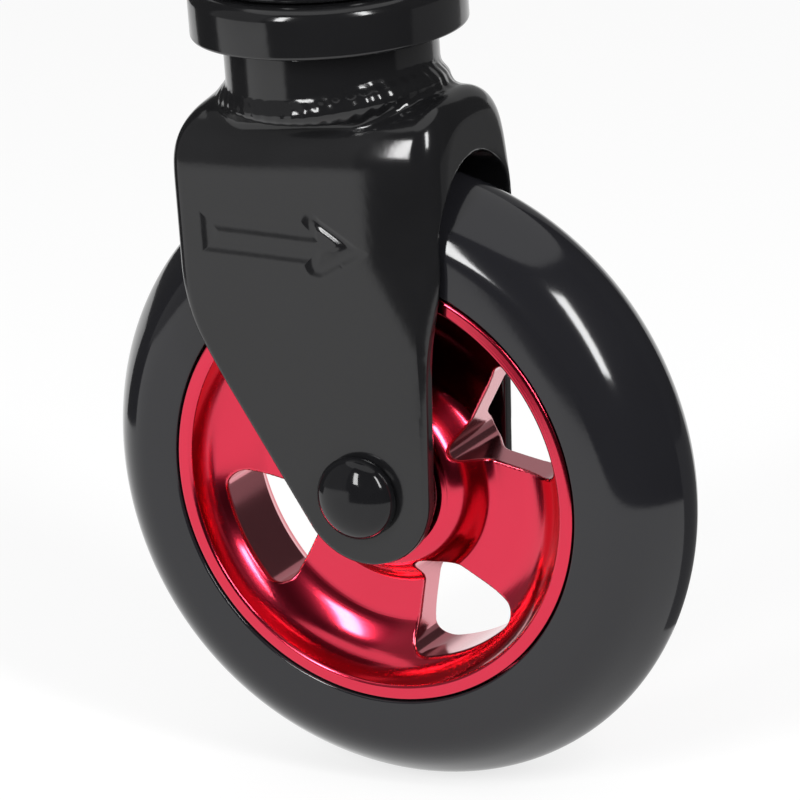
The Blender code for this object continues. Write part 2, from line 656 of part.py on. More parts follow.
def fork_yoke(fork):
    """Both legs and the crown in one piece, with the tyre's arch and the axle holes.

    An arrow's outline is engraved in each leg.
    """
    width = 2 * LEG_OUTER_FACE
    deep = 2 * (YOKE_FRONT_X - YOKE_REAR_X)
    mesh = prism("fork_yoke", fork_side(), CUTTER_REACH * width, plane=ACROSS)
    yoke = add("fork_yoke", mesh, BLACK_COAT, fork)
    front = shouldered("crown_front", 2 * deep)
    plan = make_cutter("crown_plan", prism("crown_plan", fork_plan(), 4 * YOKE_TOP_Z))
    arch = make_cutter("tyre_arch", prism("tyre_arch", arch_outline(), 2 * deep, plane=ALONG))
    boolean(yoke, front, "INTERSECT")
    boolean(yoke, plan, "INTERSECT")
    for side, sign in (("left", 1), ("right", -1)):
        spot = (0, sign * LEG_OUTER_FACE, ARROW_Z)
        depth = 2 * ARROW_GROOVE_DEPTH
        groove = prism(f"arrow_{side}", arrow_outline(ARROW_GROOVE_WIDTH / 2), depth, spot, ACROSS)
        island = prism(f"island_{side}", arrow_outline(-ARROW_GROOVE_WIDTH / 2), 2 * depth, spot, ACROSS)
        arrow = make_cutter(f"arrow_{side}", groove)
        boolean(arrow, make_cutter(f"island_{side}", island), "DIFFERENCE")
        boolean(yoke, arrow, "DIFFERENCE")
    boolean(yoke, arch, "DIFFERENCE")
    across = Matrix.Translation((0, 0, AXLE_Z)) @ ACROSS
    holes = round_cutter("axle_holes", RING_BORE, CUTTER_REACH * width, across, STEPS_SMALL)
    upright = Matrix.Translation((STEERING_X, 0, YOKE_TOP_Z))
    seat = round_cutter("steerer_seat", STEERER_SEAT_RADIUS, 2 * STEERER_SEAT_DEPTH, upright)
    bore = round_cutter("steerer_bore", STEERER_BORE, YOKE_TOP_Z, upright)
    for cutter in (holes, seat, bore):
        boolean(yoke, cutter, "DIFFERENCE")


def bead_mesh(name):
    """A half-round bead that runs round the neck's foot, lowest where the shoulders fall away."""
    root = NECK_RADIUS + GAP
    rise = math.tan(YOKE_TOP_SLOPE)
    work = bmesh.new()
    rings = []
    for i in range(STEPS_WHEEL):
        turn = math.tau * i / STEPS_WHEEL
        middle = YOKE_TOP_Z + root * math.cos(turn) * rise - WELD_SIDE_DROP * math.sin(turn) ** 2
        ring = []
        for k in range(WELD_STEPS + 1):
            lean = math.pi * (k / WELD_STEPS - 0.5)
            radius = root + WELD_WIDTH * math.cos(lean)
            height = middle + WELD_HALF_HEIGHT * math.sin(lean)
            place = (STEERING_X + radius * math.cos(turn), radius * math.sin(turn), height)
            ring.append(work.verts.new(place))
        rings.append(ring)
    for i, ring in enumerate(rings):
        after = rings[(i + 1) % len(rings)]
        for k in range(len(ring)):
            j = (k + 1) % len(ring)
            work.faces.new((ring[k], after[k], after[j], ring[j]))
    mesh = bpy.data.meshes.new(name)
    work.to_mesh(mesh)
    work.free()
    return mesh


def steerer(fork):
    """The steerer tube, the neck round its foot and the weld between neck and crown."""
    radius = STEERER_RADIUS
    width = 4 * LEG_OUTER_FACE
    top = STEERER_TOP_Z
    edge = STEERER_CHAMFER
    profile = [(STEERER_BORE, top), (radius - edge, top), (radius, top - edge)]
    profile += [(radius, STEERER_BASE_Z), (STEERER_BORE, STEERER_BASE_Z)]
    on_steering("steerer_tube", profile, BLACK_COAT, fork)

    crown = make_cutter("crown_clearance", prism("crown_clearance", fork_side(GAP), width, plane=ACROSS))
    boolean(crown, shouldered("shoulder_clearance", 2 * width, GAP), "INTERSECT")

    eye = radius + GAP
    foot = YOKE_TOP_Z - SADDLE_DEPTH
    neck = on_steering("crown_neck", band(NECK_RADIUS, eye, foot, NECK_TOP_Z), BLACK_COAT, fork)
    boolean(neck, crown, "DIFFERENCE")

    weld = add("neck_weld", bead_mesh("neck_weld"), BLACK_COAT, fork)
    boolean(weld, crown, "DIFFERENCE")


def race_profile():
    """The crown race: a ring with a quarter-round track for the balls on its upper side."""
    eye = STEERER_RADIUS + GAP
    track = HEADSET_BALL_RADIUS + BALL_GAP
    ball_z = RACE_TOP_Z
    groove = arc((HEADSET_PITCH_RADIUS, ball_z), track, 180, 270, 3)
    rim = [(NECK_RADIUS, RACE_BASE_Z + CUP_RISE), (NECK_RADIUS, RACE_BASE_Z), (eye, RACE_BASE_Z)]
    return [(eye, ball_z)] + groove + rim


def cup_profile():
    """The lower cup: a skirt round the race, a ball track and a spigot for the head tube."""
    track = HEADSET_BALL_RADIUS + BALL_GAP
    bore = STEERER_RADIUS + STEERER_CLEARANCE
    skirt = CUP_RADIUS - CUP_WALL
    spigot = HEAD_TUBE_BORE - GAP
    spigot_top = CUP_TOP_Z + SPIGOT_LENGTH
    edge = arc((CUP_RADIUS - CUP_EDGE, CUP_TOP_Z - CUP_EDGE), CUP_EDGE, 90, 0, 3)
    groove = arc((HEADSET_PITCH_RADIUS, RACE_TOP_Z), track, 0, 90, 3)
    outside = [(spigot - SPIGOT_CHAMFER, spigot_top), (spigot, spigot_top - SPIGOT_CHAMFER)]
    outside += [(spigot, CUP_TOP_Z)]
    inside = [(CUP_RADIUS, CUP_BASE_Z), (skirt, CUP_BASE_Z), (skirt, RACE_TOP_Z)]
    top = (bore, RACE_TOP_Z + track)
    return outside + edge + inside + groove + [top, (bore, spigot_top)]


def turned_over(profile):
    """A headset profile carried from the foot of the head tube to its top."""
    return [(r, HEAD_TUBE_BASE_Z + HEAD_TUBE_TOP_Z + h) for r, h in mirrored(profile)]


def retainer(name, ball_z, fork):
    """A ring of headset balls in their retainer."""
    half = CAGE_WALL / 2
    profile = band(HEADSET_PITCH_RADIUS + half, HEADSET_PITCH_RADIUS - half, ball_z - half, ball_z + half)
    cage = on_steering(name, profile, BRIGHT_STEEL, fork, 20)
    fill_with_balls(cage, HEADSET_BALL_COUNT, HEADSET_PITCH_RADIUS, HEADSET_BALL_RADIUS, ball_z)


def headset(fork):
    """The lower and upper headset bearings and the threaded parts that close them."""
    on_steering("crown_race", race_profile(), BLACK_STEEL, fork)
    on_steering("lower_cup", cup_profile(), BLACK_COAT)
    retainer("lower_ball_retainer", RACE_TOP_Z, fork)

    upper_ball_z = HEAD_TUBE_BASE_Z + HEAD_TUBE_TOP_Z - RACE_TOP_Z
    on_steering("upper_cup", turned_over(cup_profile()), BLACK_COAT)
    retainer("upper_ball_retainer", upper_ball_z, fork)
    eye = STEERER_RADIUS + GAP
    cover_top = COVER_BASE_Z + CONE_COVER
    collar = [(eye, CONE_TOP_Z), (CONE_RADIUS, CONE_TOP_Z), (CONE_RADIUS, cover_top)]
    collar += [(CONE_COVER_RADIUS, cover_top), (CONE_COVER_RADIUS, COVER_BASE_Z)]
    collar += [(NECK_RADIUS, COVER_BASE_Z)]
    track = turned_over(race_profile()[:-2])
    on_steering("adjusting_cone", collar + track, BLACK_STEEL, fork)

    profile = band(WASHER_RADIUS, eye, WASHER_BASE_Z, WASHER_BASE_Z + WASHER_THICKNESS)
    on_steering("lock_washer", profile, BRIGHT_STEEL, fork)


def lock_nut(fork):
    """The hexagonal lock nut, with its corners turned off above and below."""
    top = NUT_BASE_Z + NUT_HEIGHT
    eye = STEERER_RADIUS + GAP
    corner = NUT_ACROSS_FLATS / math.sqrt(3)
    flat = NUT_ACROSS_FLATS / 2
    profile = [(eye, top), (flat, top), (corner, top - NUT_CHAMFER), (corner, NUT_BASE_Z + NUT_CHAMFER)]
    profile += [(flat, NUT_BASE_Z), (eye, NUT_BASE_Z)]
    nut = on_steering("lock_nut", profile, BLACK_STEEL, fork)
    middle = (STEERING_X, 0, (top + NUT_BASE_Z) / 2)
    mesh = prism("nut_hexagon", hexagon(NUT_ACROSS_FLATS), 2 * NUT_HEIGHT, middle)
    flats = make_cutter("nut_hexagon", mesh)
    boolean(nut, flats, "INTERSECT")


def head_tube():
    """The frame's head tube, which both cups are pressed into."""
    low = HEAD_TUBE_BASE_Z
    high = HEAD_TUBE_TOP_Z
    outer = HEAD_TUBE_RADIUS
    edge = HEAD_TUBE_CHAMFER
    profile = [(HEAD_TUBE_BORE, high), (outer - edge, high), (outer, high - edge)]
    profile += [(outer, low + edge), (outer - edge, low), (HEAD_TUBE_BORE, low)]
    on_steering("head_tube", profile, BLACK_COAT)


def build():
    fork = empty("steering_axis", (STEERING_X, 0, 0))
    wheel = empty("wheel_axis", (0, 0, AXLE_Z), fork)
    head_tube()
    headset(fork)
    lock_nut(fork)
    steerer(fork)
    fork_yoke(fork)
    axle(fork)
    bearings(wheel, fork)
    wheel_core(wheel)
    tyre(wheel)


build()
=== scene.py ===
import json
import math

import bmesh
import bpy
import numpy as np
from mathutils import Matrix, Vector

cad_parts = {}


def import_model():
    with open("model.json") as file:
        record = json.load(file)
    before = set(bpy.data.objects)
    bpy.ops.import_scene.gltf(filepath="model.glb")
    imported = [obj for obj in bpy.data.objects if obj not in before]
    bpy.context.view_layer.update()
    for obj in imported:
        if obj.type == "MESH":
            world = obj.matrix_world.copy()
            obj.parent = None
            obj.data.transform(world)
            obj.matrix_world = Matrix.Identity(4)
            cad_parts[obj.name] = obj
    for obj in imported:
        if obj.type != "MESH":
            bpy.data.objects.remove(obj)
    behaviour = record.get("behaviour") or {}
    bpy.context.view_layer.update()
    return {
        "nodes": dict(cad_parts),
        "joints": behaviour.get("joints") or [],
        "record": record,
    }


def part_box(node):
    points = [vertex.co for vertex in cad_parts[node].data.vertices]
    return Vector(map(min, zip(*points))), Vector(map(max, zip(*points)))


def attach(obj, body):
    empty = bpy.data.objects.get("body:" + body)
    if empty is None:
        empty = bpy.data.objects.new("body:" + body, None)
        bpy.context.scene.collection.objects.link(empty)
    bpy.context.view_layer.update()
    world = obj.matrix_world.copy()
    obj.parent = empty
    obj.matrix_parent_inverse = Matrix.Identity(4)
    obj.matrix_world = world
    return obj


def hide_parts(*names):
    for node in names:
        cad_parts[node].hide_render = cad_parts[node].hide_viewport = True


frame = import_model()

# Sizes of the object are in millimetres, and those of the set are in metres
MM = 0.001

JOINTS = {joint["name"]: joint for joint in frame["joints"]}


def box_mm(node):
    """A CAD node's lowest and highest corners, in millimetres."""
    low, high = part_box(node)
    return np.array(low) / MM, np.array(high) / MM


STEERING_X = JOINTS["steering"]["pos_m"][0] / MM
AXLE_Z = JOINTS["wheel_spin"]["pos_m"][2] / MM
YOKE_LOW, YOKE_HIGH = box_mm("fork_yoke")
NECK_TOP = box_mm("crown_neck")[1][2]

# Camera
CAMERA_AZIMUTH = math.radians(29.805)
CAMERA_ELEVATION = math.radians(17.409)
CAMERA_ROLL = math.radians(-4.275)
CAMERA_DISTANCE = 1.0
CAMERA_LENS = 263.7
CAMERA_SENSOR = 36
CAMERA_CLIP = 0.05
CAMERA_SHIFT_RIGHT = -0.75 * MM
CAMERA_SHIFT_UP = 11.493 * MM

# Free space between pieces that don't turn against each other
GAP = 0.3

# The share of a grid's step that a point may move onto its surface, at first and once refined
REACH = 0.8
REACH_REFINED = 0.5

# Steps round the turned pieces
AXLE_STEPS = 72
RING_STEPS = 96
CUP_STEPS = 128
TYRE_STEPS = 200
SHARP_ANGLE = math.radians(35)

# Fork: its outline from the side
LEG_OUTER = 15.7
LEG_INNER = 12.7
LEG_END_RADIUS = 12.5
LEG_END_X = 0.4
FRONT_LEAN = math.radians(3.3)
REAR_LEAN = math.radians(30.9)
REAR_BEND = 25.0
FLARE_LOW_Z = 81.0
FLARE_HIGH_Z = 95.0
FLARE_SOFTNESS = 2.0

# Fork: the crown's top, and how far its corners and edges are rounded
CROWN_TOP = 122.0
CROWN_SLOPE = 0.01
CORNER_LIFT = 4.0
CORNER_FRONT = 4.5
CORNER_REAR = 15.4
CORNER_POWER = 2.2
SHOULDER_FRONT = 14.3
SHOULDER_REAR = 15.4
SHOULDER_POWER = 2.9
EDGE_FRONT = 2.6
EDGE_FRONT_TOP = 4.6
EDGE_REAR = 2.7
EDGE_LEG = 0.9
EDGE_ARCH = 0.7
EDGE_HOLE = 0.3
EDGE_BORE = 0.4
REAR_X = -20.0
REAR_TO_FRONT = 25.0
CROWN_EDGE_Z = 100.0
CROWN_EDGE_SPAN = 15.0
LEG_EDGE_Z = 72.0
LEG_EDGE_SPAN = 20.0

# Fork: the openings, and the inward bend of the legs' front
ARCH_RISE = 44.1
AXLE_HOLE = 4.3
STEERER_BORE = 12.0
STEERER_SEAT = 14.6
STEERER_FOOT = 120.9
BEND_START_HIGH = 2.4
BEND_START_LOW = 12.0
BEND_LOW_Z = 80.5
BEND_HIGH_Z = 96.0
BEND_RADIUS = 60.0
BEND_SOFTNESS = 0.6

# Fork: the arrow, with a narrow and deep groove on its head's upper side
ARROW_TIP_X = 2.1
ARROW_LENGTH = 27.4
ARROW_HEAD_LENGTH = 7.7
ARROW_HEAD_WIDTH = 8.6
ARROW_SHAFT_WIDTH = 3.9
ARROW_Z = 98.3
ARROW_DROP = 0.04
ARROW_CORNER = 0.8
ARROW_DEPTH = 0.18
ARROW_DEPTH_HEAD = 0.285
ARROW_GROOVE = 2.0
ARROW_GROOVE_HEAD = 1.05
ARROW_HEAD_FADE = 2.0
ARROW_SIDE_FADE = 1.6

# Fork: the neck and the weld bead round its foot
NECK_RADIUS = 18.15
NECK_FOOT_Z = 119.6
NECK_TOP_EDGE = 0.15
NECK_FOOT_EDGE = 1.2
NECK_FILLET_REAR = 4.4
NECK_FILLET_FRONT = 1.0
BEAD_RING_RADIUS = 18.0
BEAD_HIGHEST = math.radians(-15)
BEAD_LOW_Z = 121.2
BEAD_RISE = 2.3
BEAD_RADIUS = 0.95
BEAD_GROWTH = 1.3
BEAD_RIPPLES = 48
BEAD_RIPPLE = 0.06
BEAD_CRESCENT = 1.1
BEAD_BLEND = 1.8

# Fork: its grid, and where its faces are made finer
FORK_VOXEL = 0.6
FORK_MARGIN = 2.3
FORK_CUTS = 2
ARROW_FACE = 2.0
BEAD_NEAR = 0.6

# Wheel: the tyre, and half its tread's section as two curves, each by its ends and the point
# its ends aim at
TYRE_RADIUS = 55.0
TYRE_HALF_WIDTH = 11.8
TYRE_EDGE = 0.4
TREAD_CURVES = (
    ((44.0, 11.8), (48.2, 11.8), (51.6, 7.07)),
    ((51.6, 7.07), (55.0, 2.35), (55.0, 0.0)),
)
TREAD_POINTS = 14

# Wheel: the core's rim, concave web and hub
RIM_RADIUS = 38.0
RIM_FACE = 11.7
RIM_RIB_HEIGHT = 2.0
RIM_RIB_HALF = 4.0
RIM_EDGE = 0.45
VALLEY_RADIUS = 11.4
VALLEY_CENTRE = 24.4
FLOOR_HALF = 3.0
HUB_RADIUS = 12.9
HUB_FOOT = 19.7
HUB_FACE = 10.0
HUB_EDGE = 0.3
CONE_LIP = 0.4
CONE_FOOT_PULL = 0.37
CONE_TOP_PULL = 0.47
CONE_POINTS = 400
CONE_SCALE = 0.8
BEARING_SEAT = 11.3
BEARING_LEDGE = 2.7
BEARING_SHOULDER = 9.8
BEARING_EDGE = 0.25

# Wheel: the core's openings
WINDOWS = 4
WINDOW_ANGLE = math.radians(24)
WINDOW_HALF_ANGLE = math.radians(36)
WINDOW_APEX = 13.6
WINDOW_OUTER = 32.2
WINDOW_NOSE = 2.8
WINDOW_CORNER = 3.6
WINDOW_EDGE = 0.35
WALL_BAND = 0.25

# Wheel: the core's grid, and its margins within the bore, beside the hub and round the rim
CORE_STEP = 0.42
CORE_TURNS = 520
CORE_WITHIN = 1.3
CORE_BESIDE = 2.7
CORE_ROUND = 3.6

# Headset: the cups and the head tube
CUP_RADIUS = 23.5
CUP_MOUTH = 21.3
CUP_EYE = 15.6
CUP_TOP_EDGE = 2.2
CUP_FOOT_EDGE = 0.7
SPIGOT = 9.0
SPIGOT_RADIUS = 16.7
BALL_DROP = 3.5
TUBE_RADIUS = 20.5
TUBE_BORE = 17.0

# Headset: the balls' seats, each by radius and by distance from its rim
CUP_SEAT = ((19.98, 0.0), (19.34, 1.54), (17.8, 2.18))
CONE_SEAT = ((17.8, 2.18), (16.2, 1.5), (15.62, 0.0))
RACE_SEAT = ((16.1, 1.4), (17.8, 2.18))
RACE_TIP = 15.62
RACE_FOOT = 18.15
RACE_FOOT_HEIGHT = 0.65

# Headset: the steerer and its thread
STEERER_RADIUS = 14.3
THREAD_PITCH = 0.977
THREAD_DEPTH = 0.5
THREAD_ABOVE = 9.0
THREAD_BELOW = 12.0
THREAD_FADE = 1.5
THREAD_ROWS = 8

# Headset: the rings round the steerer, and the cone's cover and knurling
RING_EYE = 14.6
RING_RADIUS = 20.0
COVER_RADIUS = 22.6
COVER_EYE = 18.1
COVER_HEIGHT = 2.4
KNURL_RIDGES = 64
KNURL_STEPS = 8
KNURL_DEPTH = 0.35
KNURL_FROM = 19.2

# Headset: the lock nut
NUT_HALF = 18.0
NUT_MOUTH = 15.3
NUT_CORNER = 0.5
NUT_BEVEL_SLOPE = 0.43
NUT_BEVEL_SCALE = 0.92
NUT_MOUTH_SCALE = 0.71
NUT_VOXEL = 0.45
NUT_MARGIN = 1.0
HEXAGON = (math.pi / 6, math.pi / 2, 5 * math.pi / 6)

# Axle: the domed head and its sleeve
DOME_RADIUS = 7.3
DOME_SEAT_RADIUS = 7.0
DOME_RIM = 0.9
DOME_POWER = 0.9
DOME_POINTS = 24
SLEEVE_RADIUS = 4.0
SLEEVE_BORE = 3.3
SLEEVE_DEPTH = 17.0

# Axle: the screw
SCREW_RADIUS = 3.0
SCREW_LENGTH = 13.0
SCREW_OVERLAP = 1.0
SCREW_HEAD_RADIUS = 6.0
SCREW_HEAD_RISE = 2.9
SCREW_RIM = 0.7
SOCKET_HALF = 2.0
SOCKET_DEPTH = 2.3
SCREW_VOXEL = 0.24
SCREW_MARGIN = 0.8

# The set, in metres
AIM_HEIGHT = 0.08
LAMP_DISTANCE = 1.0
LAMP_WIDTH = 0.14
LAMP_HEIGHT = 0.5
LAMP_POWER = 5.0
CARD_DISTANCE = 1.6
CARD_COLUMNS = 24
FLAG_ROWS = 12
MAT_ROWS = 2
MAT_LIFT = 0.0005
FLOOR_HALF_SIZE = 8.0
FLOOR_DROP = 0.0002
FLOOR_LIT = 0.3
FLOOR_GLOW = 0.74
FLOOR_UNSEEN = 0.8
SKY_LIGHT = 0.55

# The part of a noise's range that drives a material
NOISE_LOW = 0.3
NOISE_HIGH = 0.7


def clamp01(value):
    return np.clip(value, 0.0, 1.0)


def ease(value):
    """A smooth step from 0 to 1."""
    value = clamp01(value)
    return value * value * (3 - 2 * value)


def ramp(value, softness):
    """Nothing below zero and the value itself above, with a soft turn between."""
    return softness * np.logaddexp(0.0, value / softness)


def both(a, b, radius, angle=math.pi / 2):
    """The field of what lies inside two fields, with their common edge rounded.

    Angle is the angle between the two surfaces' normals.
    """
    a = a + radius
    b = b + radius
    cosine = math.cos(angle)
    apart = np.sqrt(np.maximum(a * a + b * b - 2 * a * b * cosine, 0)) / math.sin(angle)
    between = (a > b * cosine) & (b > a * cosine)
    return np.where(between, apart, np.maximum(a, b)) - radius


def squarish(a, b, radius, power):
    """The field of what lies inside two fields, with their edge rounded by a superellipse."""
    a = a + radius
    b = b + radius
    a_in = np.maximum(a, 1e-9)
    b_in = np.maximum(b, 1e-9)
    apart = (a_in ** power + b_in ** power) ** (1 / power)
    return np.where((a > 0) & (b > 0), apart, np.maximum(a, b)) - radius


def either(a, b, radius):
    """The field of what lies inside one field or the other, with a fillet between them."""
    return -both(-a, -b, radius)


def neighbours(axis):
    """The slices that pair each sample of a grid with the next one along an axis."""
    first = [slice(None)] * 3
    second = [slice(None)] * 3
    first[axis] = slice(0, -1)
    second[axis] = slice(1, None)
    return tuple(first), tuple(second)


def net(field, origins, steps, counts, wrap=False):
    """Quads round the zero level of a field sampled on a grid.

    Returns the corners in grid coordinates and the quads. With wrap, the second axis runs
    round and its last sample meets its first.
    """
    axes = [origins[k] + steps[k] * np.arange(counts[k]) for k in range(3)]
    values = field(axes[0][:, None, None], axes[1][None, :, None], axes[2][None, None, :])
    values = np.broadcast_to(values, counts).astype(np.float64)
    if wrap:
        values = np.concatenate([values, values[:, :1]], axis=1)
    cells = tuple(n - 1 for n in values.shape)
    total = np.zeros(cells + (3,))
    number = np.zeros(cells)
    inside = values < 0
    for axis in range(3):
        first, second = neighbours(axis)
        crossed = inside[first] != inside[second]
        gap = values[first] - values[second]
        along = np.where(crossed, values[first] / np.where(gap == 0, 1, gap), 0)
        others = [k for k in range(3) if k != axis]
        for i in (0, 1):
            for j in (0, 1):
                part = [slice(None)] * 3
                part[others[0]] = slice(i, cells[others[0]] + i)
                part[others[1]] = slice(j, cells[others[1]] + j)
                part = tuple(part)
                hit = crossed[part]
                number += hit
                total[..., axis] += np.where(hit, along[part], 0)
                total[..., others[0]] += i * hit
                total[..., others[1]] += j * hit
    used = number > 0
    index = np.full(cells, -1, dtype=np.int64)
    index[used] = np.arange(int(used.sum()))
    places = np.argwhere(used) + total[used] / number[used][:, None]
    corners = np.array(origins) + places * np.array(steps)
    quads = []
    for axis in range(3):
        b, c = [k for k in range(3) if k != axis]
        first, second = neighbours(axis)
        sign_first = inside[first]
        crossed = sign_first != inside[second]
        spots = np.argwhere(crossed)
        rising = sign_first[crossed]
        for k in (b, c):
            if wrap and k == 1:
                keep = spots[:, k] < cells[k]
            else:
                keep = (spots[:, k] > 0) & (spots[:, k] < cells[k])
            spots, rising = spots[keep], rising[keep]
        ring = []
        for db, dc in ((-1, -1), (0, -1), (0, 0), (-1, 0)):
            cell = spots.copy()
            cell[:, b] += db
            cell[:, c] += dc
            if wrap:
                cell[:, 1] %= cells[1]
            ring.append(index[tuple(cell.T)])
        quad = np.stack(ring, axis=1)
        flip = rising if axis == 1 else ~rising
        quad[flip] = quad[flip][:, ::-1]
        quads.append(quad)
    return corners, np.concatenate(quads)


def slope_of(field, points, reach=0.02):
    """The gradient of a field at points."""
    slopes = []
    for k in range(3):
        ahead = points.copy()
        behind = points.copy()
        ahead[:, k] += reach
        behind[:, k] -= reach
        slopes.append((field(*ahead.T) - field(*behind.T)) / (2 * reach))
    return np.stack(slopes, axis=1)


def settle(field, points, reach, rounds=5):
    """Move points onto the zero level of a field, and give its normals there."""
    start = points.copy()
    for _ in range(rounds):
        slope = slope_of(field, points)
        size = np.maximum((slope ** 2).sum(1), 0.05)
        points = points - slope * (field(*points.T) / size)[:, None]
        drift = points - start
        length = np.linalg.norm(drift, axis=1)
        points = start + drift * np.minimum(1, reach / np.maximum(length, 1e-9))[:, None]
    slope = slope_of(field, points, 0.05)
    return points, slope / np.maximum(np.linalg.norm(slope, axis=1), 1e-9)[:, None]


def mesh_object(name, points, faces, normals=None):
    """A smooth mesh object from points in millimetres."""
    mesh = bpy.data.meshes.new(name)
    faces = faces.tolist() if isinstance(faces, np.ndarray) else faces
    mesh.from_pydata((np.asarray(points) * MM).tolist(), [], faces)
    mesh.update()
    mesh.shade_smooth()
    if normals is not None:
        mesh.normals_split_custom_set_from_vertices(normals.tolist())
    piece = bpy.data.objects.new(name, mesh)
    bpy.context.scene.collection.objects.link(piece)
    return piece


def surface(field, low, high, voxel):
    """The points, quads and normals of a field's zero level in a box."""
    counts = [int(math.ceil((b - a) / voxel)) + 1 for a, b in zip(low, high)]
    points, quads = net(field, low, (voxel,) * 3, counts)
    points, normals = settle(field, points, REACH * voxel)
    return points, quads, normals


def dress(piece, body, nodes, slot):
    """Hang a piece on its body, in the place of its CAD nodes, in its slot's finish."""
    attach(piece, body)
    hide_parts(*nodes)
    piece.data.materials.append(FINISHES[slot])


def carved(name, field, node, margin, voxel, slot):
    """A piece on the fork's body, from a field round its node's box."""
    low, high = box_mm(node)
    points, quads, normals = surface(field, low - margin, high + margin, voxel)
    dress(mesh_object(name, points, quads, normals), "fork", [node], slot)


def arrow_inset(x, z):
    """How far inside the arrow's outline a point lies, in millimetres."""
    neck = ARROW_TIP_X - ARROW_HEAD_LENGTH
    tail = ARROW_TIP_X - ARROW_LENGTH
    half = ARROW_HEAD_WIDTH / 2
    aside = np.abs(z - ARROW_Z - ARROW_DROP * (ARROW_TIP_X - x))
    length = math.hypot(ARROW_HEAD_LENGTH, half)
    angle = math.pi / 2 + math.atan2(half, ARROW_HEAD_LENGTH)
    rounded = np.hypot(aside, ARROW_CORNER) - ARROW_CORNER / 2
    slanted = ((ARROW_TIP_X - x) * half - rounded * ARROW_HEAD_LENGTH) / length
    head = -both(-slanted, neck - x, ARROW_CORNER, angle)
    shaft = np.minimum(np.minimum(ARROW_SHAFT_WIDTH / 2 - aside, x - tail), neck + half - x)
    return np.maximum(head, shaft)


def fork_outline(x, z):
    """The fork from its side, without its top."""
    qx = x - LEG_END_X
    qz = z - AXLE_Z
    lean = math.tan(FRONT_LEAN)
    low_x = LEG_END_X + LEG_END_RADIUS / math.cos(FRONT_LEAN)
    bend_x = low_x + (FLARE_LOW_Z - AXLE_Z) * lean
    flare = (YOKE_HIGH[0] - bend_x) / (FLARE_HIGH_Z - FLARE_LOW_Z)
    edge = low_x + qz * lean + (flare - lean) * ramp(z - FLARE_LOW_Z, FLARE_SOFTNESS)
    edge = edge - flare * ramp(z - FLARE_HIGH_Z, FLARE_SOFTNESS)
    front = (x - edge) * math.cos(FRONT_LEAN)
    leaning = -qx * math.cos(REAR_LEAN) - qz * math.sin(REAR_LEAN) - LEG_END_RADIUS
    rear = both(leaning, YOKE_LOW[0] - x, REAR_BEND, REAR_LEAN)
    return both(front, rear, LEG_END_RADIUS, math.pi - FRONT_LEAN - REAR_LEAN)


def fork_body(x, y, z):
    """Both legs and the crown, without the neck."""
    aside = np.abs(y)
    forward = ease((x - REAR_X) / REAR_TO_FRONT)
    corner = CORNER_REAR + (CORNER_FRONT - CORNER_REAR) * forward
    top = z - CROWN_TOP - CROWN_SLOPE * (x - STEERING_X)
    side_view = squarish(fork_outline(x, z), top - CORNER_LIFT, corner, CORNER_POWER)
    rise = ease((z - CROWN_EDGE_Z) / CROWN_EDGE_SPAN)
    edge_front = EDGE_FRONT + (EDGE_FRONT_TOP - EDGE_FRONT) * rise
    edge = EDGE_REAR + (edge_front - EDGE_REAR) * forward
    edge = EDGE_LEG + (edge - EDGE_LEG) * ease((z - LEG_EDGE_Z) / LEG_EDGE_SPAN)
    share = clamp01((z - BEND_LOW_Z) / (BEND_HIGH_Z - BEND_LOW_Z))
    start = BEND_START_LOW + (BEND_START_HIGH - BEND_START_LOW) * share
    bend = ramp(x - start, BEND_SOFTNESS) ** 2 / (2 * BEND_RADIUS)
    upper = ease((z - ARROW_Z + ARROW_SIDE_FADE / 2) / ARROW_SIDE_FADE)
    upper_head = ease((x - ARROW_TIP_X + ARROW_HEAD_LENGTH) / ARROW_HEAD_FADE) * upper
    depth = ARROW_DEPTH + (ARROW_DEPTH_HEAD - ARROW_DEPTH) * upper_head
    groove_half = ARROW_GROOVE + (ARROW_GROOVE_HEAD - ARROW_GROOVE) * upper_head
    across = np.minimum(np.abs(arrow_inset(x, z)) / groove_half, 1)
    groove = depth * (1 - across ** 2) ** 2
    face = aside - (LEG_OUTER - bend - groove)
    shoulder = SHOULDER_REAR + (SHOULDER_FRONT - SHOULDER_REAR) * forward
    front_view = squarish(face, top, shoulder, SHOULDER_POWER)
    body = both(side_view, front_view, edge)
    roof = AXLE_Z + ARCH_RISE
    arch = np.where(z < roof, aside, np.hypot(y, np.maximum(z - roof, 0))) - LEG_INNER
    body = both(body, -arch, EDGE_ARCH)
    hole = np.hypot(x, z - AXLE_Z) - AXLE_HOLE
    return both(body, -hole, EDGE_HOLE)


def neck_body(x, y, z):
    """The neck that stands on the crown."""
    radius = np.hypot(x - STEERING_X, y)
    neck = both(radius - NECK_RADIUS, z - NECK_TOP, NECK_TOP_EDGE)
    return both(neck, NECK_FOOT_Z - z, NECK_FOOT_EDGE)


def bead_body(x, y, z):
    """The rippled weld bead round the neck's foot."""
    dx = x - STEERING_X
    radius = np.hypot(dx, y)
    turn = np.arctan2(y, dx)
    forward = np.maximum(np.cos(turn - BEAD_HIGHEST), 0) ** 2
    size = BEAD_RADIUS + BEAD_GROWTH * forward
    out = radius - BEAD_RING_RADIUS
    up = z - BEAD_LOW_Z - BEAD_RISE * forward
    wave = BEAD_RIPPLES * turn + BEAD_CRESCENT * (up / size) ** 2
    return np.hypot(out, up) - size - BEAD_RIPPLE * np.cos(wave)


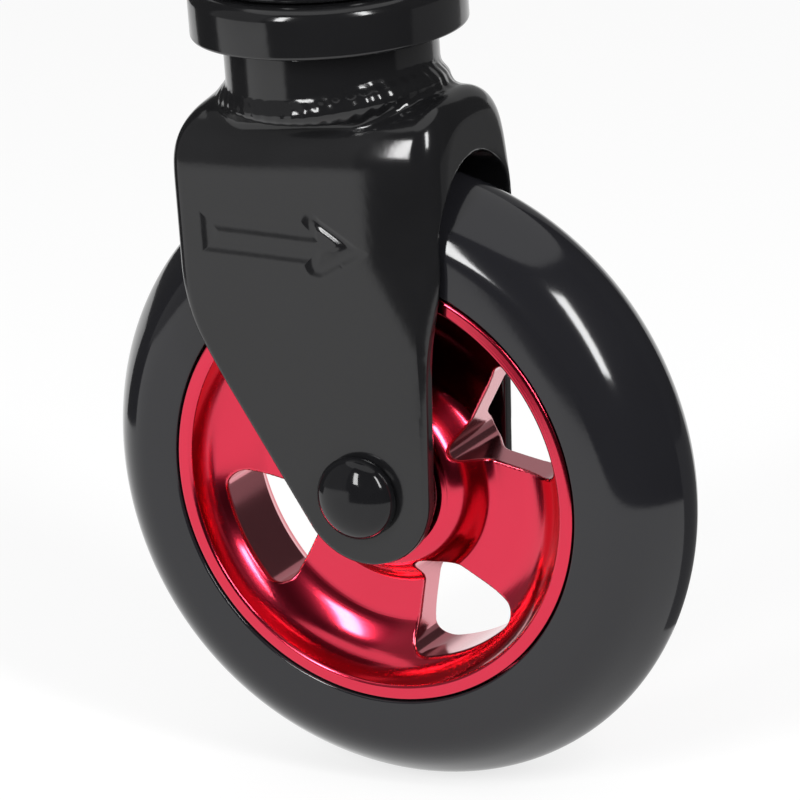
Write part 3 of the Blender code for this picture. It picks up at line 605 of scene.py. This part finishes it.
def fork_field(x, y, z):
    """The whole weldment: legs, crown, neck and weld bead."""
    radius = np.hypot(x - STEERING_X, y)
    ahead = 0.5 + 0.5 * (x - STEERING_X) / np.maximum(radius, 1e-6)
    fillet = NECK_FILLET_REAR + (NECK_FILLET_FRONT - NECK_FILLET_REAR) * ahead
    joined = either(fork_body(x, y, z), neck_body(x, y, z), fillet)
    joined = either(joined, bead_body(x, y, z), BEAD_BLEND)
    seat = np.maximum(radius - STEERER_SEAT, STEERER_FOOT - GAP - z)
    bore = np.minimum(radius - STEERER_BORE, seat)
    return both(joined, -bore, EDGE_BORE)


def divided(points, faces, chosen, cuts):
    """The mesh with the chosen faces' edges cut into shorter ones."""
    work = bmesh.new()
    corners = [work.verts.new(point) for point in points]
    made = [work.faces.new([corners[k] for k in face]) for face in faces]
    picked = {edge for face, hit in zip(made, chosen) if hit for edge in face.edges}
    bmesh.ops.subdivide_edges(work, edges=list(picked), cuts=cuts, use_grid_fill=True)
    work.verts.index_update()
    points = np.array([vertex.co[:] for vertex in work.verts])
    faces = [[vertex.index for vertex in face.verts] for face in work.faces]
    work.free()
    return points, faces


def fork():
    """The weldment as one piece, with finer faces at the arrow and the bead."""
    margin = np.array([FORK_MARGIN, 2 * FORK_MARGIN, FORK_MARGIN])
    low = YOKE_LOW - margin
    high = np.array([YOKE_HIGH[0], YOKE_HIGH[1], NECK_TOP]) + margin
    points, quads, _ = surface(fork_field, low, high, FORK_VOXEL)
    x, y, z = points[quads].mean(axis=1).T
    near_arrow = np.abs(arrow_inset(x, z)) < ARROW_GROOVE + FORK_VOXEL
    arrow = near_arrow & (np.abs(y) > LEG_INNER + ARROW_FACE)
    bead = bead_body(x, y, z) < BEAD_NEAR
    points, faces = divided(points, quads, arrow | bead, FORK_CUTS)
    points, normals = settle(fork_field, points, REACH_REFINED * FORK_VOXEL)
    piece = mesh_object("fork", points, faces, normals)
    dress(piece, "fork", ["fork_yoke", "crown_neck", "neck_weld"], "black_coat")


def window_field(x, z):
    """The nearest opening of the wheel core, seen along the axle."""
    pitch = math.tau / WINDOWS
    turn = np.arctan2(z, x) - WINDOW_ANGLE
    turn = (turn + pitch / 2) % pitch - pitch / 2
    radius = np.hypot(x, z)
    ahead = radius * np.cos(turn) - WINDOW_APEX
    aside = radius * np.sin(turn)
    rise = math.sin(WINDOW_HALF_ANGLE)
    run = math.cos(WINDOW_HALF_ANGLE)
    nose = both(aside * run - ahead * rise, -aside * run - ahead * rise, WINDOW_NOSE)
    return both(nose, radius - WINDOW_OUTER, WINDOW_CORNER)


def hub_height(radius):
    """The height of the hub's hollow cone over the core's middle plane."""
    t = np.linspace(0, 1, CONE_POINTS)
    run = HUB_FOOT - HUB_RADIUS
    top = HUB_FACE - CONE_LIP
    weights = ((1 - t) ** 3, 3 * t * (1 - t) ** 2, 3 * t * t * (1 - t), t ** 3)
    places = (HUB_FOOT, HUB_FOOT - CONE_FOOT_PULL * run, HUB_RADIUS + CONE_TOP_PULL * run, HUB_RADIUS)
    heights = (FLOOR_HALF, FLOOR_HALF, top, top)
    r = sum(w * p for w, p in zip(weights, places))
    h = sum(w * p for w, p in zip(weights, heights))
    inward = np.maximum(HUB_RADIUS - radius, 0)
    return np.interp(radius, r[::-1], h[::-1]) + inward


def core_field(x, y, z):
    """The aluminium core: rim, concave web with four openings, and hub."""
    radius = np.hypot(x, z)
    aside = np.abs(y)
    rib = np.maximum(radius - RIM_RADIUS - RIM_RIB_HEIGHT, aside - RIM_RIB_HALF)
    rim = np.minimum(radius - RIM_RADIUS, rib)
    valley = VALLEY_RADIUS - np.hypot(radius - VALLEY_CENTRE, aside - FLOOR_HALF - VALLEY_RADIUS)
    inner = both((aside - hub_height(radius)) * CONE_SCALE, aside - HUB_FACE, HUB_EDGE)
    web = np.where(radius > VALLEY_CENTRE, valley, inner)
    faces = np.where(radius > VALLEY_CENTRE, aside - RIM_FACE, aside - HUB_FACE)
    body = both(both(faces, web, RIM_EDGE), rim, RIM_EDGE)
    seat = np.minimum(BEARING_SEAT - radius, aside - BEARING_LEDGE)
    bore = np.maximum(BEARING_SHOULDER - radius, seat)
    body = both(body, bore, BEARING_EDGE)
    return both(body, -window_field(x, z), WINDOW_EDGE)


def wheel_core():
    """The core, from a grid that runs round the axle, with its openings' walls marked."""
    def round_field(radius, turn, y):
        return core_field(radius * np.cos(turn), y, -radius * np.sin(turn))

    low = (BEARING_SHOULDER - CORE_WITHIN, 0.0, -HUB_FACE - CORE_BESIDE)
    steps = (CORE_STEP, math.tau / CORE_TURNS, CORE_STEP)
    outward = int((RIM_RADIUS + CORE_ROUND - low[0]) / CORE_STEP)
    counts = (outward, CORE_TURNS, int(2 * -low[2] / CORE_STEP) + 2)
    corners, quads = net(round_field, low, steps, counts, wrap=True)
    radius, turn, y = corners.T
    points = np.stack([radius * np.cos(turn), y, -radius * np.sin(turn)], axis=1)
    points, normals = settle(core_field, points, REACH * CORE_STEP)
    walls = clamp01(1 - np.abs(window_field(points[:, 0], points[:, 2])) / WALL_BAND)
    points[:, 2] += AXLE_Z
    piece = mesh_object("spoked_core", points, quads, normals)
    attribute = piece.data.attributes.new("window_wall", "FLOAT", "POINT")
    attribute.data.foreach_set("value", walls)
    dress(piece, "wheel", ["wheel_core"], "red_core")


def soften(corners, steps=5):
    """A closed profile through corners (radius, height, rounding), each rounded by an arc."""
    points = []
    for i, (r, h, rounding) in enumerate(corners):
        if rounding == 0:
            points.append((r, h))
            continue
        corner = Vector((r, h))
        before = (Vector(corners[i - 1][:2]) - corner).normalized()
        after = (Vector(corners[(i + 1) % len(corners)][:2]) - corner).normalized()
        half = before.angle(after) / 2
        centre = corner + (before + after).normalized() * rounding / math.sin(half)
        first = corner + before * rounding / math.tan(half) - centre
        last = corner + after * rounding / math.tan(half) - centre
        turn = first.angle_signed(last)
        for k in range(steps + 1):
            spoke = first.copy()
            spoke.rotate(Matrix.Rotation(-turn * k / steps, 2))
            points.append(tuple(centre + spoke))
    return points


def lathe(name, profile, steps, body, node, slot, along_axle=False, relief=None):
    """A closed profile of (radius, height) points turned about the steering axis or the axle.

    Relief gives the radius again from the radius, the height and the turn.
    """
    profile = np.array(profile)
    count = len(profile)
    turns = np.arange(steps) * math.tau / steps
    radius = np.broadcast_to(profile[None, :, 0], (steps, count))
    height = np.broadcast_to(profile[None, :, 1], (steps, count))
    if relief:
        radius = relief(radius, height, turns[:, None])
    a = radius * np.cos(turns)[:, None]
    b = radius * np.sin(turns)[:, None]
    if along_axle:
        points = np.stack([a, height, AXLE_Z - b], axis=2)
    else:
        points = np.stack([STEERING_X + a, b, height], axis=2)
    i = np.arange(steps)[:, None]
    j = np.arange(count)[None, :]
    i_next = (i + 1) % steps
    j_next = (j + 1) % count
    ring = [i * count + j, i * count + j_next, i_next * count + j_next, i_next * count + j]
    quads = np.stack(ring, axis=2)
    piece = mesh_object(name, points.reshape(-1, 3), quads.reshape(-1, 4)[:, ::-1])
    work = bmesh.new()
    work.from_mesh(piece.data)
    bmesh.ops.remove_doubles(work, verts=work.verts, dist=1e-7)
    bmesh.ops.dissolve_degenerate(work, dist=1e-8, edges=work.edges)
    bmesh.ops.recalc_face_normals(work, faces=work.faces)
    work.to_mesh(piece.data)
    work.free()
    piece.data.shade_smooth()
    piece.data.set_sharp_from_angle(angle=SHARP_ANGLE)
    dress(piece, body, [node], slot)


def tyre():
    """The urethane tyre, with the groove that holds it on the core's rib."""
    half_tread = []
    for curve in TREAD_CURVES:
        for i in range(TREAD_POINTS):
            t = i / TREAD_POINTS
            weights = ((1 - t) ** 2, 2 * t * (1 - t), t * t)
            point = [sum(w * p[k] for w, p in zip(weights, curve)) for k in (0, 1)]
            half_tread.append(tuple(point))
    tread = half_tread + [(TYRE_RADIUS, 0)] + [(r, -h) for r, h in reversed(half_tread)]
    bore = RIM_RADIUS + GAP
    groove = bore + RIM_RIB_HEIGHT
    half = RIM_RIB_HALF + GAP
    seat = [(bore, -TYRE_HALF_WIDTH, TYRE_EDGE), (bore, -half, 0), (groove, -half, 0)]
    seat += [(r, -h, rounding) for r, h, rounding in reversed(seat)]
    outline = soften([(r, h, 0) for r, h in tread] + seat)
    lathe("tyre_urethane", outline, TYRE_STEPS, "wheel", "tyre", "tyre", along_axle=True)


def dome():
    """The axle's smooth mushroom head, and its hollow sleeve behind it."""
    low, high = box_mm("axle_sleeve")
    seat = -LEG_OUTER - GAP
    reach = -low[1]
    depth = reach + seat - DOME_RIM
    cap = []
    for i in range(DOME_POINTS):
        angle = math.pi / 2 * i / DOME_POINTS
        height = -(reach - depth) - depth * math.sin(angle)
        cap.append((DOME_RADIUS * math.cos(angle) ** DOME_POWER, height))
    cap.append((0, -reach))
    end = high[1]
    bottom = end - SLEEVE_DEPTH
    shank = [(0, bottom), (SLEEVE_BORE, bottom), (SLEEVE_BORE, end), (SLEEVE_RADIUS, end),
             (SLEEVE_RADIUS, seat), (DOME_SEAT_RADIUS, seat)]
    lathe("axle_dome", (shank + cap)[::-1], AXLE_STEPS, "fork", "axle_sleeve", "axle_black",
          along_axle=True)


def cup(name, node, upside_down=False):
    """A headset cup: its skirt and flange, and the spigot that is pressed into the head tube."""
    low, high = box_mm(node)
    foot, tip = (-high[2], -low[2]) if upside_down else (low[2], high[2])
    top = tip - SPIGOT
    ball = top - BALL_DROP
    corners = [(CUP_EYE, tip, 0.3), (SPIGOT_RADIUS, tip, 0.4), (SPIGOT_RADIUS, top, 0),
               (CUP_RADIUS, top, CUP_TOP_EDGE), (CUP_RADIUS, foot, CUP_FOOT_EDGE),
               (CUP_MOUTH, foot, 0.3), (CUP_MOUTH, ball, 0)]
    corners += [(radius, ball + depth, 0) for radius, depth in CUP_SEAT]
    corners += [(CUP_EYE, ball + CUP_SEAT[-1][1], 0)]
    profile = soften(corners, 7)
    if upside_down:
        profile = [(r, -h) for r, h in profile]
    lathe(name, profile, CUP_STEPS, "head", node, "black_coat")


def plain_ring(name, node, inner, outer, roundings, steps, body, slot):
    """A ring round the steering axis, as high as its node, with roundings inside and outside."""
    low, high = box_mm(node)
    inside, outside = roundings
    corners = [(inner, high[2], inside), (outer, high[2], outside),
               (outer, low[2], outside), (inner, low[2], inside)]
    lathe(name, soften(corners), steps, body, node, slot)


def steerer():
    """The steerer tube, with its thread where the cone and the lock nut sit."""
    top = box_mm("steerer_tube")[1][2]
    nut_top = box_mm("lock_nut")[1][2]
    start = nut_top - THREAD_BELOW
    end = nut_top + THREAD_ABOVE
    corners = [(STEERER_BORE, top, 0.3), (STEERER_RADIUS, top, 0.6)]
    rows = int((end - start) * THREAD_ROWS / THREAD_PITCH)
    corners += [(STEERER_RADIUS, end - k * THREAD_PITCH / THREAD_ROWS, 0) for k in range(rows)]
    corners += [(STEERER_RADIUS, STEERER_FOOT, 0.3), (STEERER_BORE, STEERER_FOOT, 0.3)]

    def thread(radius, height, turn):
        fade = ease((height - start) / THREAD_FADE) * ease((end - height) / THREAD_FADE)
        wave = 0.5 - 0.5 * np.cos(math.tau * height / THREAD_PITCH - turn)
        outside = radius > STEERER_RADIUS - 0.01
        return radius - THREAD_DEPTH * fade * wave * outside

    lathe("threaded_steerer", soften(corners), RING_STEPS, "fork", "steerer_tube", "black_coat",
          relief=thread)


def adjusting_cone():
    """The knurled upper cone with the cover that closes the upper cup."""
    low, high = box_mm("adjusting_cone")
    cover_low = box_mm("upper_cup")[1][2] + GAP
    cover_top = cover_low + COVER_HEIGHT
    corners = [(RING_EYE, high[2], 0.3), (RING_RADIUS, high[2], 0.4), (RING_RADIUS, cover_top, 0),
               (COVER_RADIUS, cover_top, 0.6), (COVER_RADIUS, cover_low, 0.4),
               (COVER_EYE, cover_low, 0.3)]
    corners += [(radius, low[2] + height, 0) for radius, height in CONE_SEAT]
    corners += [(RING_EYE, low[2], 0.2)]

    def knurl(radius, height, turn):
        wave = 0.5 - 0.5 * np.cos(KNURL_RIDGES * turn)
        outside = (radius > KNURL_FROM) & (height > cover_top - 0.01)
        return radius - KNURL_DEPTH * wave * outside

    lathe("knurled_cone", soften(corners, 3), KNURL_STEPS * KNURL_RIDGES, "fork", "adjusting_cone",
          "black_steel", relief=knurl)


def crown_race():
    """The race that the lower balls run on, on the neck."""
    low, high = box_mm("crown_race")
    corners = [(RING_EYE, high[2], 0.2), (RACE_TIP, high[2], 0.2)]
    corners += [(radius, high[2] - depth, 0) for radius, depth in RACE_SEAT]
    corners += [(RACE_FOOT, low[2] + RACE_FOOT_HEIGHT, 0.2), (RACE_FOOT, low[2], 0.15),
                (RING_EYE, low[2], 0.3)]
    lathe("crown_race_ring", soften(corners), RING_STEPS, "fork", "crown_race", "black_steel")


def lock_nut():
    """The hexagonal lock nut, with chamfered corners and a chamfered bore."""
    low, high = box_mm("lock_nut")

    def nut_field(x, y, z):
        px = x - STEERING_X
        radius = np.hypot(px, y)
        flats = [np.abs(px * math.cos(a) + y * math.sin(a)) - NUT_HALF for a in HEXAGON]
        block = both(flats[0], flats[1], NUT_CORNER, math.pi / 3)
        block = both(block, flats[2], NUT_CORNER, math.pi / 3)
        ends = np.maximum(z - high[2], low[2] - z)
        bevel = (ends + (radius - NUT_HALF) * NUT_BEVEL_SLOPE) * NUT_BEVEL_SCALE
        block = both(both(block, ends, 0.3), bevel, 0.25)
        bore = np.maximum(RING_EYE - radius, (NUT_MOUTH - radius + ends) * NUT_MOUTH_SCALE)
        return both(block, bore, 0.2)

    carved("hexagon_lock_nut", nut_field, "lock_nut", NUT_MARGIN, NUT_VOXEL, "black_steel")


def axle_screw():
    """The low domed screw that closes the axle, with its hexagon socket."""
    low, high = box_mm("axle_screw")
    under = low[1] + SCREW_LENGTH

    def screw_field(x, y, z):
        pz = z - AXLE_Z
        radius = np.hypot(x, pz)
        rise = np.maximum(y - under - SCREW_RIM, 0)
        head = (np.hypot(radius / SCREW_HEAD_RADIUS, rise / SCREW_HEAD_RISE) - 1) * SCREW_HEAD_RISE
        head = both(both(head, y - high[1], 0.25), under - y, 0.3)
        shank = both(radius - SCREW_RADIUS, low[1] - y, 0.3)
        shank = np.maximum(shank, y - under - SCREW_OVERLAP)
        flats = [np.abs(x * math.cos(a) + pz * math.sin(a)) - SOCKET_HALF for a in HEXAGON]
        sides = np.maximum(np.maximum(flats[0], flats[1]), flats[2])
        socket = np.maximum(sides, high[1] - SOCKET_DEPTH - y)
        return both(np.minimum(head, shank), -socket, 0.15)

    carved("socket_screw", screw_field, "axle_screw", SCREW_MARGIN, SCREW_VOXEL, "axle_black")


def axle_ring(name, node, outer, inner, body, slot, rounding):
    """A plain ring on the axle, as wide as its node."""
    low, high = box_mm(node)
    corners = [(outer, high[1], rounding), (outer, low[1], rounding),
               (inner, low[1], rounding), (inner, high[1], rounding)]
    lathe(name, soften(corners, 4), AXLE_STEPS, body, node, slot, along_axle=True)


def hub_parts():
    """The washer, the spacers and what shows of the bearings."""
    axle_ring("axle_washer_ring", "axle_washer", 7.0, 3.3, "fork", "axle_black", 0.25)
    for side in ("left", "right"):
        for name, node, outer, inner, body, rounding in (
                ("leg_spacer", "axle_spacer", 6.2, 4.3, "fork", 0.2),
                ("inner_ring", "bearing_inner_ring", 5.8, 4.3, "fork", 0.3),
                ("outer_ring", "bearing_outer_ring", 11.0, 9.55, "wheel", 0.3)):
            axle_ring(f"{name}_{side}", f"{node}_{side}", outer, inner, body, "bright_steel", rounding)
        for face in ("outer", "inner"):
            node = f"bearing_shield_{side}_{face}"
            axle_ring(f"shield_{side}_{face}", node, 9.2, 6.1, "wheel", "bright_steel", 0.12)


def flag(name, azimuths, elevations, grey):
    """A card that stands round the set."""
    def spot(azimuth, elevation):
        return compass(azimuth, elevation) * CARD_DISTANCE

    card(name, azimuths, elevations, FLAG_ROWS, spot, grey)


def mat(name, azimuths, radii, grey):
    """A card that lies on the floor."""
    def spot(azimuth, radius):
        return compass(azimuth, 0) * radius + Vector((0, 0, MAT_LIFT))

    card(name, azimuths, radii, MAT_ROWS, spot, grey)


def card(name, azimuths, extents, rows, spot, grey):
    """A grey card that only reflections see, so that gloss has something dark to show."""
    points = []
    faces = []
    for i in range(CARD_COLUMNS + 1):
        azimuth = azimuths[0] + (azimuths[1] - azimuths[0]) * i / CARD_COLUMNS
        for j in range(rows + 1):
            extent = extents[0] + (extents[1] - extents[0]) * j / rows
            points.append(spot(azimuth, extent))
    for i in range(CARD_COLUMNS):
        for j in range(rows):
            k = i * (rows + 1) + j
            faces.append((k, k + 1, k + rows + 2, k + rows + 1))
    mesh = bpy.data.meshes.new(name)
    mesh.from_pydata([tuple(point) for point in points], [], faces)
    board = bpy.data.objects.new(name, mesh)
    bpy.context.scene.collection.objects.link(board)
    board.visible_camera = False
    board.visible_diffuse = False
    board.visible_shadow = False
    board.visible_transmission = False
    material = bpy.data.materials.new(name)
    material.use_nodes = True
    nodes = material.node_tree.nodes
    nodes.clear()
    output = nodes.new("ShaderNodeOutputMaterial")
    glow = nodes.new("ShaderNodeEmission")
    glow.inputs["Color"].default_value = (grey, grey, grey, 1)
    material.node_tree.links.new(glow.outputs[0], output.inputs["Surface"])
    mesh.materials.append(material)


def noise(nodes, links, scale, detail):
    """Noise in the object's own coordinates."""
    coordinates = nodes.new("ShaderNodeTexCoord")
    node = nodes.new("ShaderNodeTexNoise")
    node.inputs["Scale"].default_value = scale
    node.inputs["Detail"].default_value = detail
    links.new(coordinates.outputs["Object"], node.inputs["Vector"])
    return node.outputs["Fac"]


def spread(nodes, links, value, low, high):
    """A noise mapped to a range."""
    node = nodes.new("ShaderNodeMapRange")
    node.inputs["From Min"].default_value = NOISE_LOW
    node.inputs["From Max"].default_value = NOISE_HIGH
    node.inputs["To Min"].default_value = low
    node.inputs["To Max"].default_value = high
    links.new(value, node.inputs["Value"])
    return node.outputs["Result"]


def blend(nodes, links, factor, first, second):
    """A colour between two colours."""
    node = nodes.new("ShaderNodeMix")
    node.data_type = "RGBA"
    links.new(factor, node.inputs["Factor"])
    for colour, socket in ((first, node.inputs[6]), (second, node.inputs[7])):
        if isinstance(colour, tuple):
            socket.default_value = (*colour, 1)
        else:
            links.new(colour, socket)
    return node.outputs[2]


def bump(nodes, links, shader, height, strength, distance):
    """Let a height tilt the shader's normal."""
    node = nodes.new("ShaderNodeBump")
    node.inputs["Strength"].default_value = strength
    node.inputs["Distance"].default_value = distance
    links.new(height, node.inputs["Height"])
    links.new(node.outputs["Normal"], shader.inputs["Normal"])


def clouded(name, scale, detail, colours, roughnesses, tint=None):
    """A new material whose colour and roughness drift with a noise, and its node tree's parts.

    Tint is a mesh attribute's name and the colour where it is 1.
    """
    material = bpy.data.materials.new(name)
    material.use_nodes = True
    nodes = material.node_tree.nodes
    links = material.node_tree.links
    shader = nodes["Principled BSDF"]
    cloud = noise(nodes, links, scale, detail)
    colour = blend(nodes, links, cloud, *colours)
    if tint:
        marked = nodes.new("ShaderNodeAttribute")
        marked.attribute_name = tint[0]
        colour = blend(nodes, links, marked.outputs["Fac"], colour, tint[1])
    links.new(colour, shader.inputs["Base Color"])
    links.new(spread(nodes, links, cloud, *roughnesses), shader.inputs["Roughness"])
    return material, nodes, links, shader


def coat_material():
    """Gloss black powder coat with a slight orange peel."""
    material, nodes, links, shader = clouded(
        "gloss_black_coat", 60, 4, ((0.007, 0.007, 0.0075), (0.011, 0.011, 0.012)), (0.11, 0.16))
    shader.inputs["Specular IOR Level"].default_value = 0.46
    bump(nodes, links, shader, noise(nodes, links, 650, 1), 0.05, 0.0002)
    return material


def turned_marks(nodes, links):
    """Fine rings round the axle, as a lathe leaves them."""
    coordinates = nodes.new("ShaderNodeTexCoord")
    parts = nodes.new("ShaderNodeSeparateXYZ")
    links.new(coordinates.outputs["Object"], parts.inputs[0])
    height = nodes.new("ShaderNodeMath")
    height.operation = "SUBTRACT"
    links.new(parts.outputs["Z"], height.inputs[0])
    height.inputs[1].default_value = AXLE_Z * MM
    flat = nodes.new("ShaderNodeCombineXYZ")
    links.new(parts.outputs["X"], flat.inputs["X"])
    links.new(height.outputs[0], flat.inputs["Y"])
    radius = nodes.new("ShaderNodeVectorMath")
    radius.operation = "LENGTH"
    links.new(flat.outputs[0], radius.inputs[0])
    rings = nodes.new("ShaderNodeTexNoise")
    rings.noise_dimensions = "1D"
    rings.inputs["Scale"].default_value = 2500
    rings.inputs["Detail"].default_value = 2
    links.new(radius.outputs["Value"], rings.inputs["W"])
    return rings.outputs["Fac"]


def red_material():
    """Red anodised metal with turning marks, paler on its openings' walls."""
    material, nodes, links, shader = clouded(
        "anodised_red", 40, 3, ((0.66, 0.02, 0.055), (0.74, 0.03, 0.075)), (0.14, 0.19),
        ("window_wall", (0.72, 0.21, 0.25)))
    shader.inputs["Metallic"].default_value = 1.0
    shader.inputs["Coat Weight"].default_value = 0.5
    shader.inputs["Coat Roughness"].default_value = 0.1
    bump(nodes, links, shader, turned_marks(nodes, links), 0.12, 0.00005)
    return material


def tyre_material():
    """Black urethane with a fine grain."""
    material, nodes, links, shader = clouded(
        "black_urethane", 30, 4, ((0.0105, 0.0105, 0.0125), (0.0135, 0.0135, 0.016)), (0.08, 0.12))
    shader.inputs["Specular IOR Level"].default_value = 0.46
    bump(nodes, links, shader, noise(nodes, links, 900, 2), 0.03, 0.0001)
    return material


def steel_material():
    """Ground and polished steel."""
    material, _, _, shader = clouded(
        "bright_steel", 300, 3, ((0.55, 0.55, 0.56), (0.66, 0.66, 0.67)), (0.2, 0.32))
    shader.inputs["Metallic"].default_value = 1.0
    return material


def black_steel_material():
    """Blackened steel, half gloss."""
    material, _, _, _ = clouded(
        "blackened_steel", 120, 4, ((0.012, 0.012, 0.013), (0.022, 0.022, 0.024)), (0.2, 0.34))
    return material


def axle_material():
    """Polished black."""
    material, _, _, shader = clouded(
        "polished_black_axle", 200, 3, ((0.006, 0.006, 0.007), (0.01, 0.01, 0.011)), (0.07, 0.12))
    shader.inputs["Specular IOR Level"].default_value = 0.3
    return material


def direct_ray(nodes, links):
    """1 for rays that show their target as it is: seen, mirrored or passed through."""
    path = nodes.new("ShaderNodeLightPath")
    total = path.outputs["Is Camera Ray"]
    for kind in ("Is Glossy Ray", "Is Transmission Ray"):
        either_ray = nodes.new("ShaderNodeMath")
        either_ray.operation = "MAXIMUM"
        links.new(total, either_ray.inputs[0])
        links.new(path.outputs[kind], either_ray.inputs[1])
        total = either_ray.outputs[0]
    return total


def by_ray(nodes, links, output, other, direct):
    """Give direct rays one shader and all others another."""
    mix = nodes.new("ShaderNodeMixShader")
    links.new(direct_ray(nodes, links), mix.inputs[0])
    links.new(other.outputs[0], mix.inputs[1])
    links.new(direct.outputs[0], mix.inputs[2])
    links.new(mix.outputs[0], output.inputs["Surface"])


def stand():
    """The pale floor. It shows the camera white, and keeps the object's soft shadow."""
    mesh = bpy.data.meshes.new("floor")
    size = FLOOR_HALF_SIZE
    corners = [(-size, -size), (size, -size), (size, size), (-size, size)]
    mesh.from_pydata([(x, y, -FLOOR_DROP) for x, y in corners], [], [(0, 1, 2, 3)])
    floor = bpy.data.objects.new("floor", mesh)
    bpy.context.scene.collection.objects.link(floor)
    material = bpy.data.materials.new("pale_floor")
    material.use_nodes = True
    nodes = material.node_tree.nodes
    links = material.node_tree.links
    nodes.clear()
    output = nodes.new("ShaderNodeOutputMaterial")
    lit = nodes.new("ShaderNodeBsdfDiffuse")
    lit.inputs["Color"].default_value = (FLOOR_LIT, FLOOR_LIT, FLOOR_LIT, 1)
    glow = nodes.new("ShaderNodeEmission")
    glow.inputs["Color"].default_value = (1, 1, 1, 1)
    glow.inputs["Strength"].default_value = FLOOR_GLOW
    seen = nodes.new("ShaderNodeAddShader")
    links.new(lit.outputs[0], seen.inputs[0])
    links.new(glow.outputs[0], seen.inputs[1])
    plain = nodes.new("ShaderNodeBsdfDiffuse")
    plain.inputs["Color"].default_value = (FLOOR_UNSEEN, FLOOR_UNSEEN, FLOOR_UNSEEN, 1)
    by_ray(nodes, links, output, plain, seen)
    mesh.materials.append(material)


def world():
    """A plain soft studio: white to the camera, and evenly grey as a light."""
    sky = bpy.data.worlds.new("studio")
    sky.use_nodes = True
    nodes = sky.node_tree.nodes
    links = sky.node_tree.links
    nodes.clear()
    output = nodes.new("ShaderNodeOutputWorld")
    light = nodes.new("ShaderNodeBackground")
    light.inputs["Strength"].default_value = SKY_LIGHT
    seen = nodes.new("ShaderNodeBackground")
    seen.inputs["Strength"].default_value = 1.0
    for node in (light, seen):
        node.inputs["Color"].default_value = (1, 1, 1, 1)
    by_ray(nodes, links, output, light, seen)
    bpy.context.scene.world = sky


def compass(azimuth, elevation):
    """The unit vector from the object towards a place seen from it."""
    a = math.radians(azimuth)
    e = math.radians(elevation)
    return Vector((math.sin(a) * math.cos(e), -math.cos(a) * math.cos(e), math.sin(e)))


def lamp(name, azimuth, elevation):
    """A tall softbox that faces the object."""
    data = bpy.data.lights.new(name, "AREA")
    data.shape = "RECTANGLE"
    data.size = LAMP_WIDTH
    data.size_y = LAMP_HEIGHT
    data.energy = LAMP_POWER
    light = bpy.data.objects.new(name, data)
    way = compass(azimuth, elevation)
    light.location = Vector((0, 0, AIM_HEIGHT)) + way * LAMP_DISTANCE
    light.rotation_euler = way.to_track_quat("Z", "Y").to_euler()
    bpy.context.scene.collection.objects.link(light)


def camera():
    """The photograph's view: a long lens, a little above the wheel and slightly rolled."""
    back = compass(math.degrees(CAMERA_AZIMUTH), math.degrees(CAMERA_ELEVATION))
    right = Vector((math.cos(CAMERA_AZIMUTH), math.sin(CAMERA_AZIMUTH), 0))
    up = back.cross(right)
    rolled_right = right * math.cos(CAMERA_ROLL) + up * math.sin(CAMERA_ROLL)
    rolled_up = up * math.cos(CAMERA_ROLL) - right * math.sin(CAMERA_ROLL)
    target = rolled_right * CAMERA_SHIFT_RIGHT + rolled_up * CAMERA_SHIFT_UP
    target += Vector((0, 0, AXLE_Z * MM))
    data = bpy.data.cameras.new("camera")
    data.sensor_width = CAMERA_SENSOR
    data.lens = CAMERA_LENS
    data.clip_start = CAMERA_CLIP
    view = bpy.data.objects.new("camera", data)
    turn = Matrix((rolled_right, rolled_up, back)).transposed().to_4x4()
    view.matrix_world = Matrix.Translation(target + back * CAMERA_DISTANCE) @ turn
    bpy.context.scene.collection.objects.link(view)
    bpy.context.scene.camera = view


camera()
world()
stand()
lamp("softbox_left", -11, 26)
lamp("softbox_right", 60, 33)

FINISHES = {
    "black_coat": coat_material(),
    "red_core": red_material(),
    "tyre": tyre_material(),
    "bright_steel": steel_material(),
    "black_steel": black_steel_material(),
    "axle_black": axle_material(),
}
for part in frame["record"]["subparts"]:
    node = frame["nodes"][part["node"]]
    node.data.materials.clear()
    node.data.materials.append(FINISHES[part["material_slot"]])

fork()
wheel_core()
tyre()
dome()
cup("lower_collar", "lower_cup")
cup("upper_collar", "upper_cup", upside_down=True)
plain_ring("head_tube_shell", "head_tube", TUBE_BORE, TUBE_RADIUS, (0.3, 0.6), CUP_STEPS,
           "head", "black_coat")
steerer()
crown_race()
adjusting_cone()
plain_ring("steel_lock_washer", "lock_washer", RING_EYE, RING_RADIUS, (0.25, 0.4), RING_STEPS,
           "fork", "bright_steel")
lock_nut()
axle_screw()
hub_parts()

# Cards: each by its azimuths and elevations in degrees, or its radii in metres, and its grey
flag("camera_side_card", (-27, 100), (0, 60), 0.03)
mat("camera_side_mat", (-23, 100), (0.22, 1.6), 0.03)
mat("right_mat", (100, 166), (0.07, 1.6), 0.24)
flag("right_card", (100, 166), (0, 60), 0.06)
flag("left_card", (-80, -27), (0, 55), 0.27)
flag("left_back_card", (-130, -80), (0, 55), 0.05)
mat("left_back_mat", (-108, -73), (0.3, 1.6), 0.05)
flag("back_card", (166, 230), (8, 60), 0.4)

bpy.context.scene.view_settings.view_transform = "Standard"
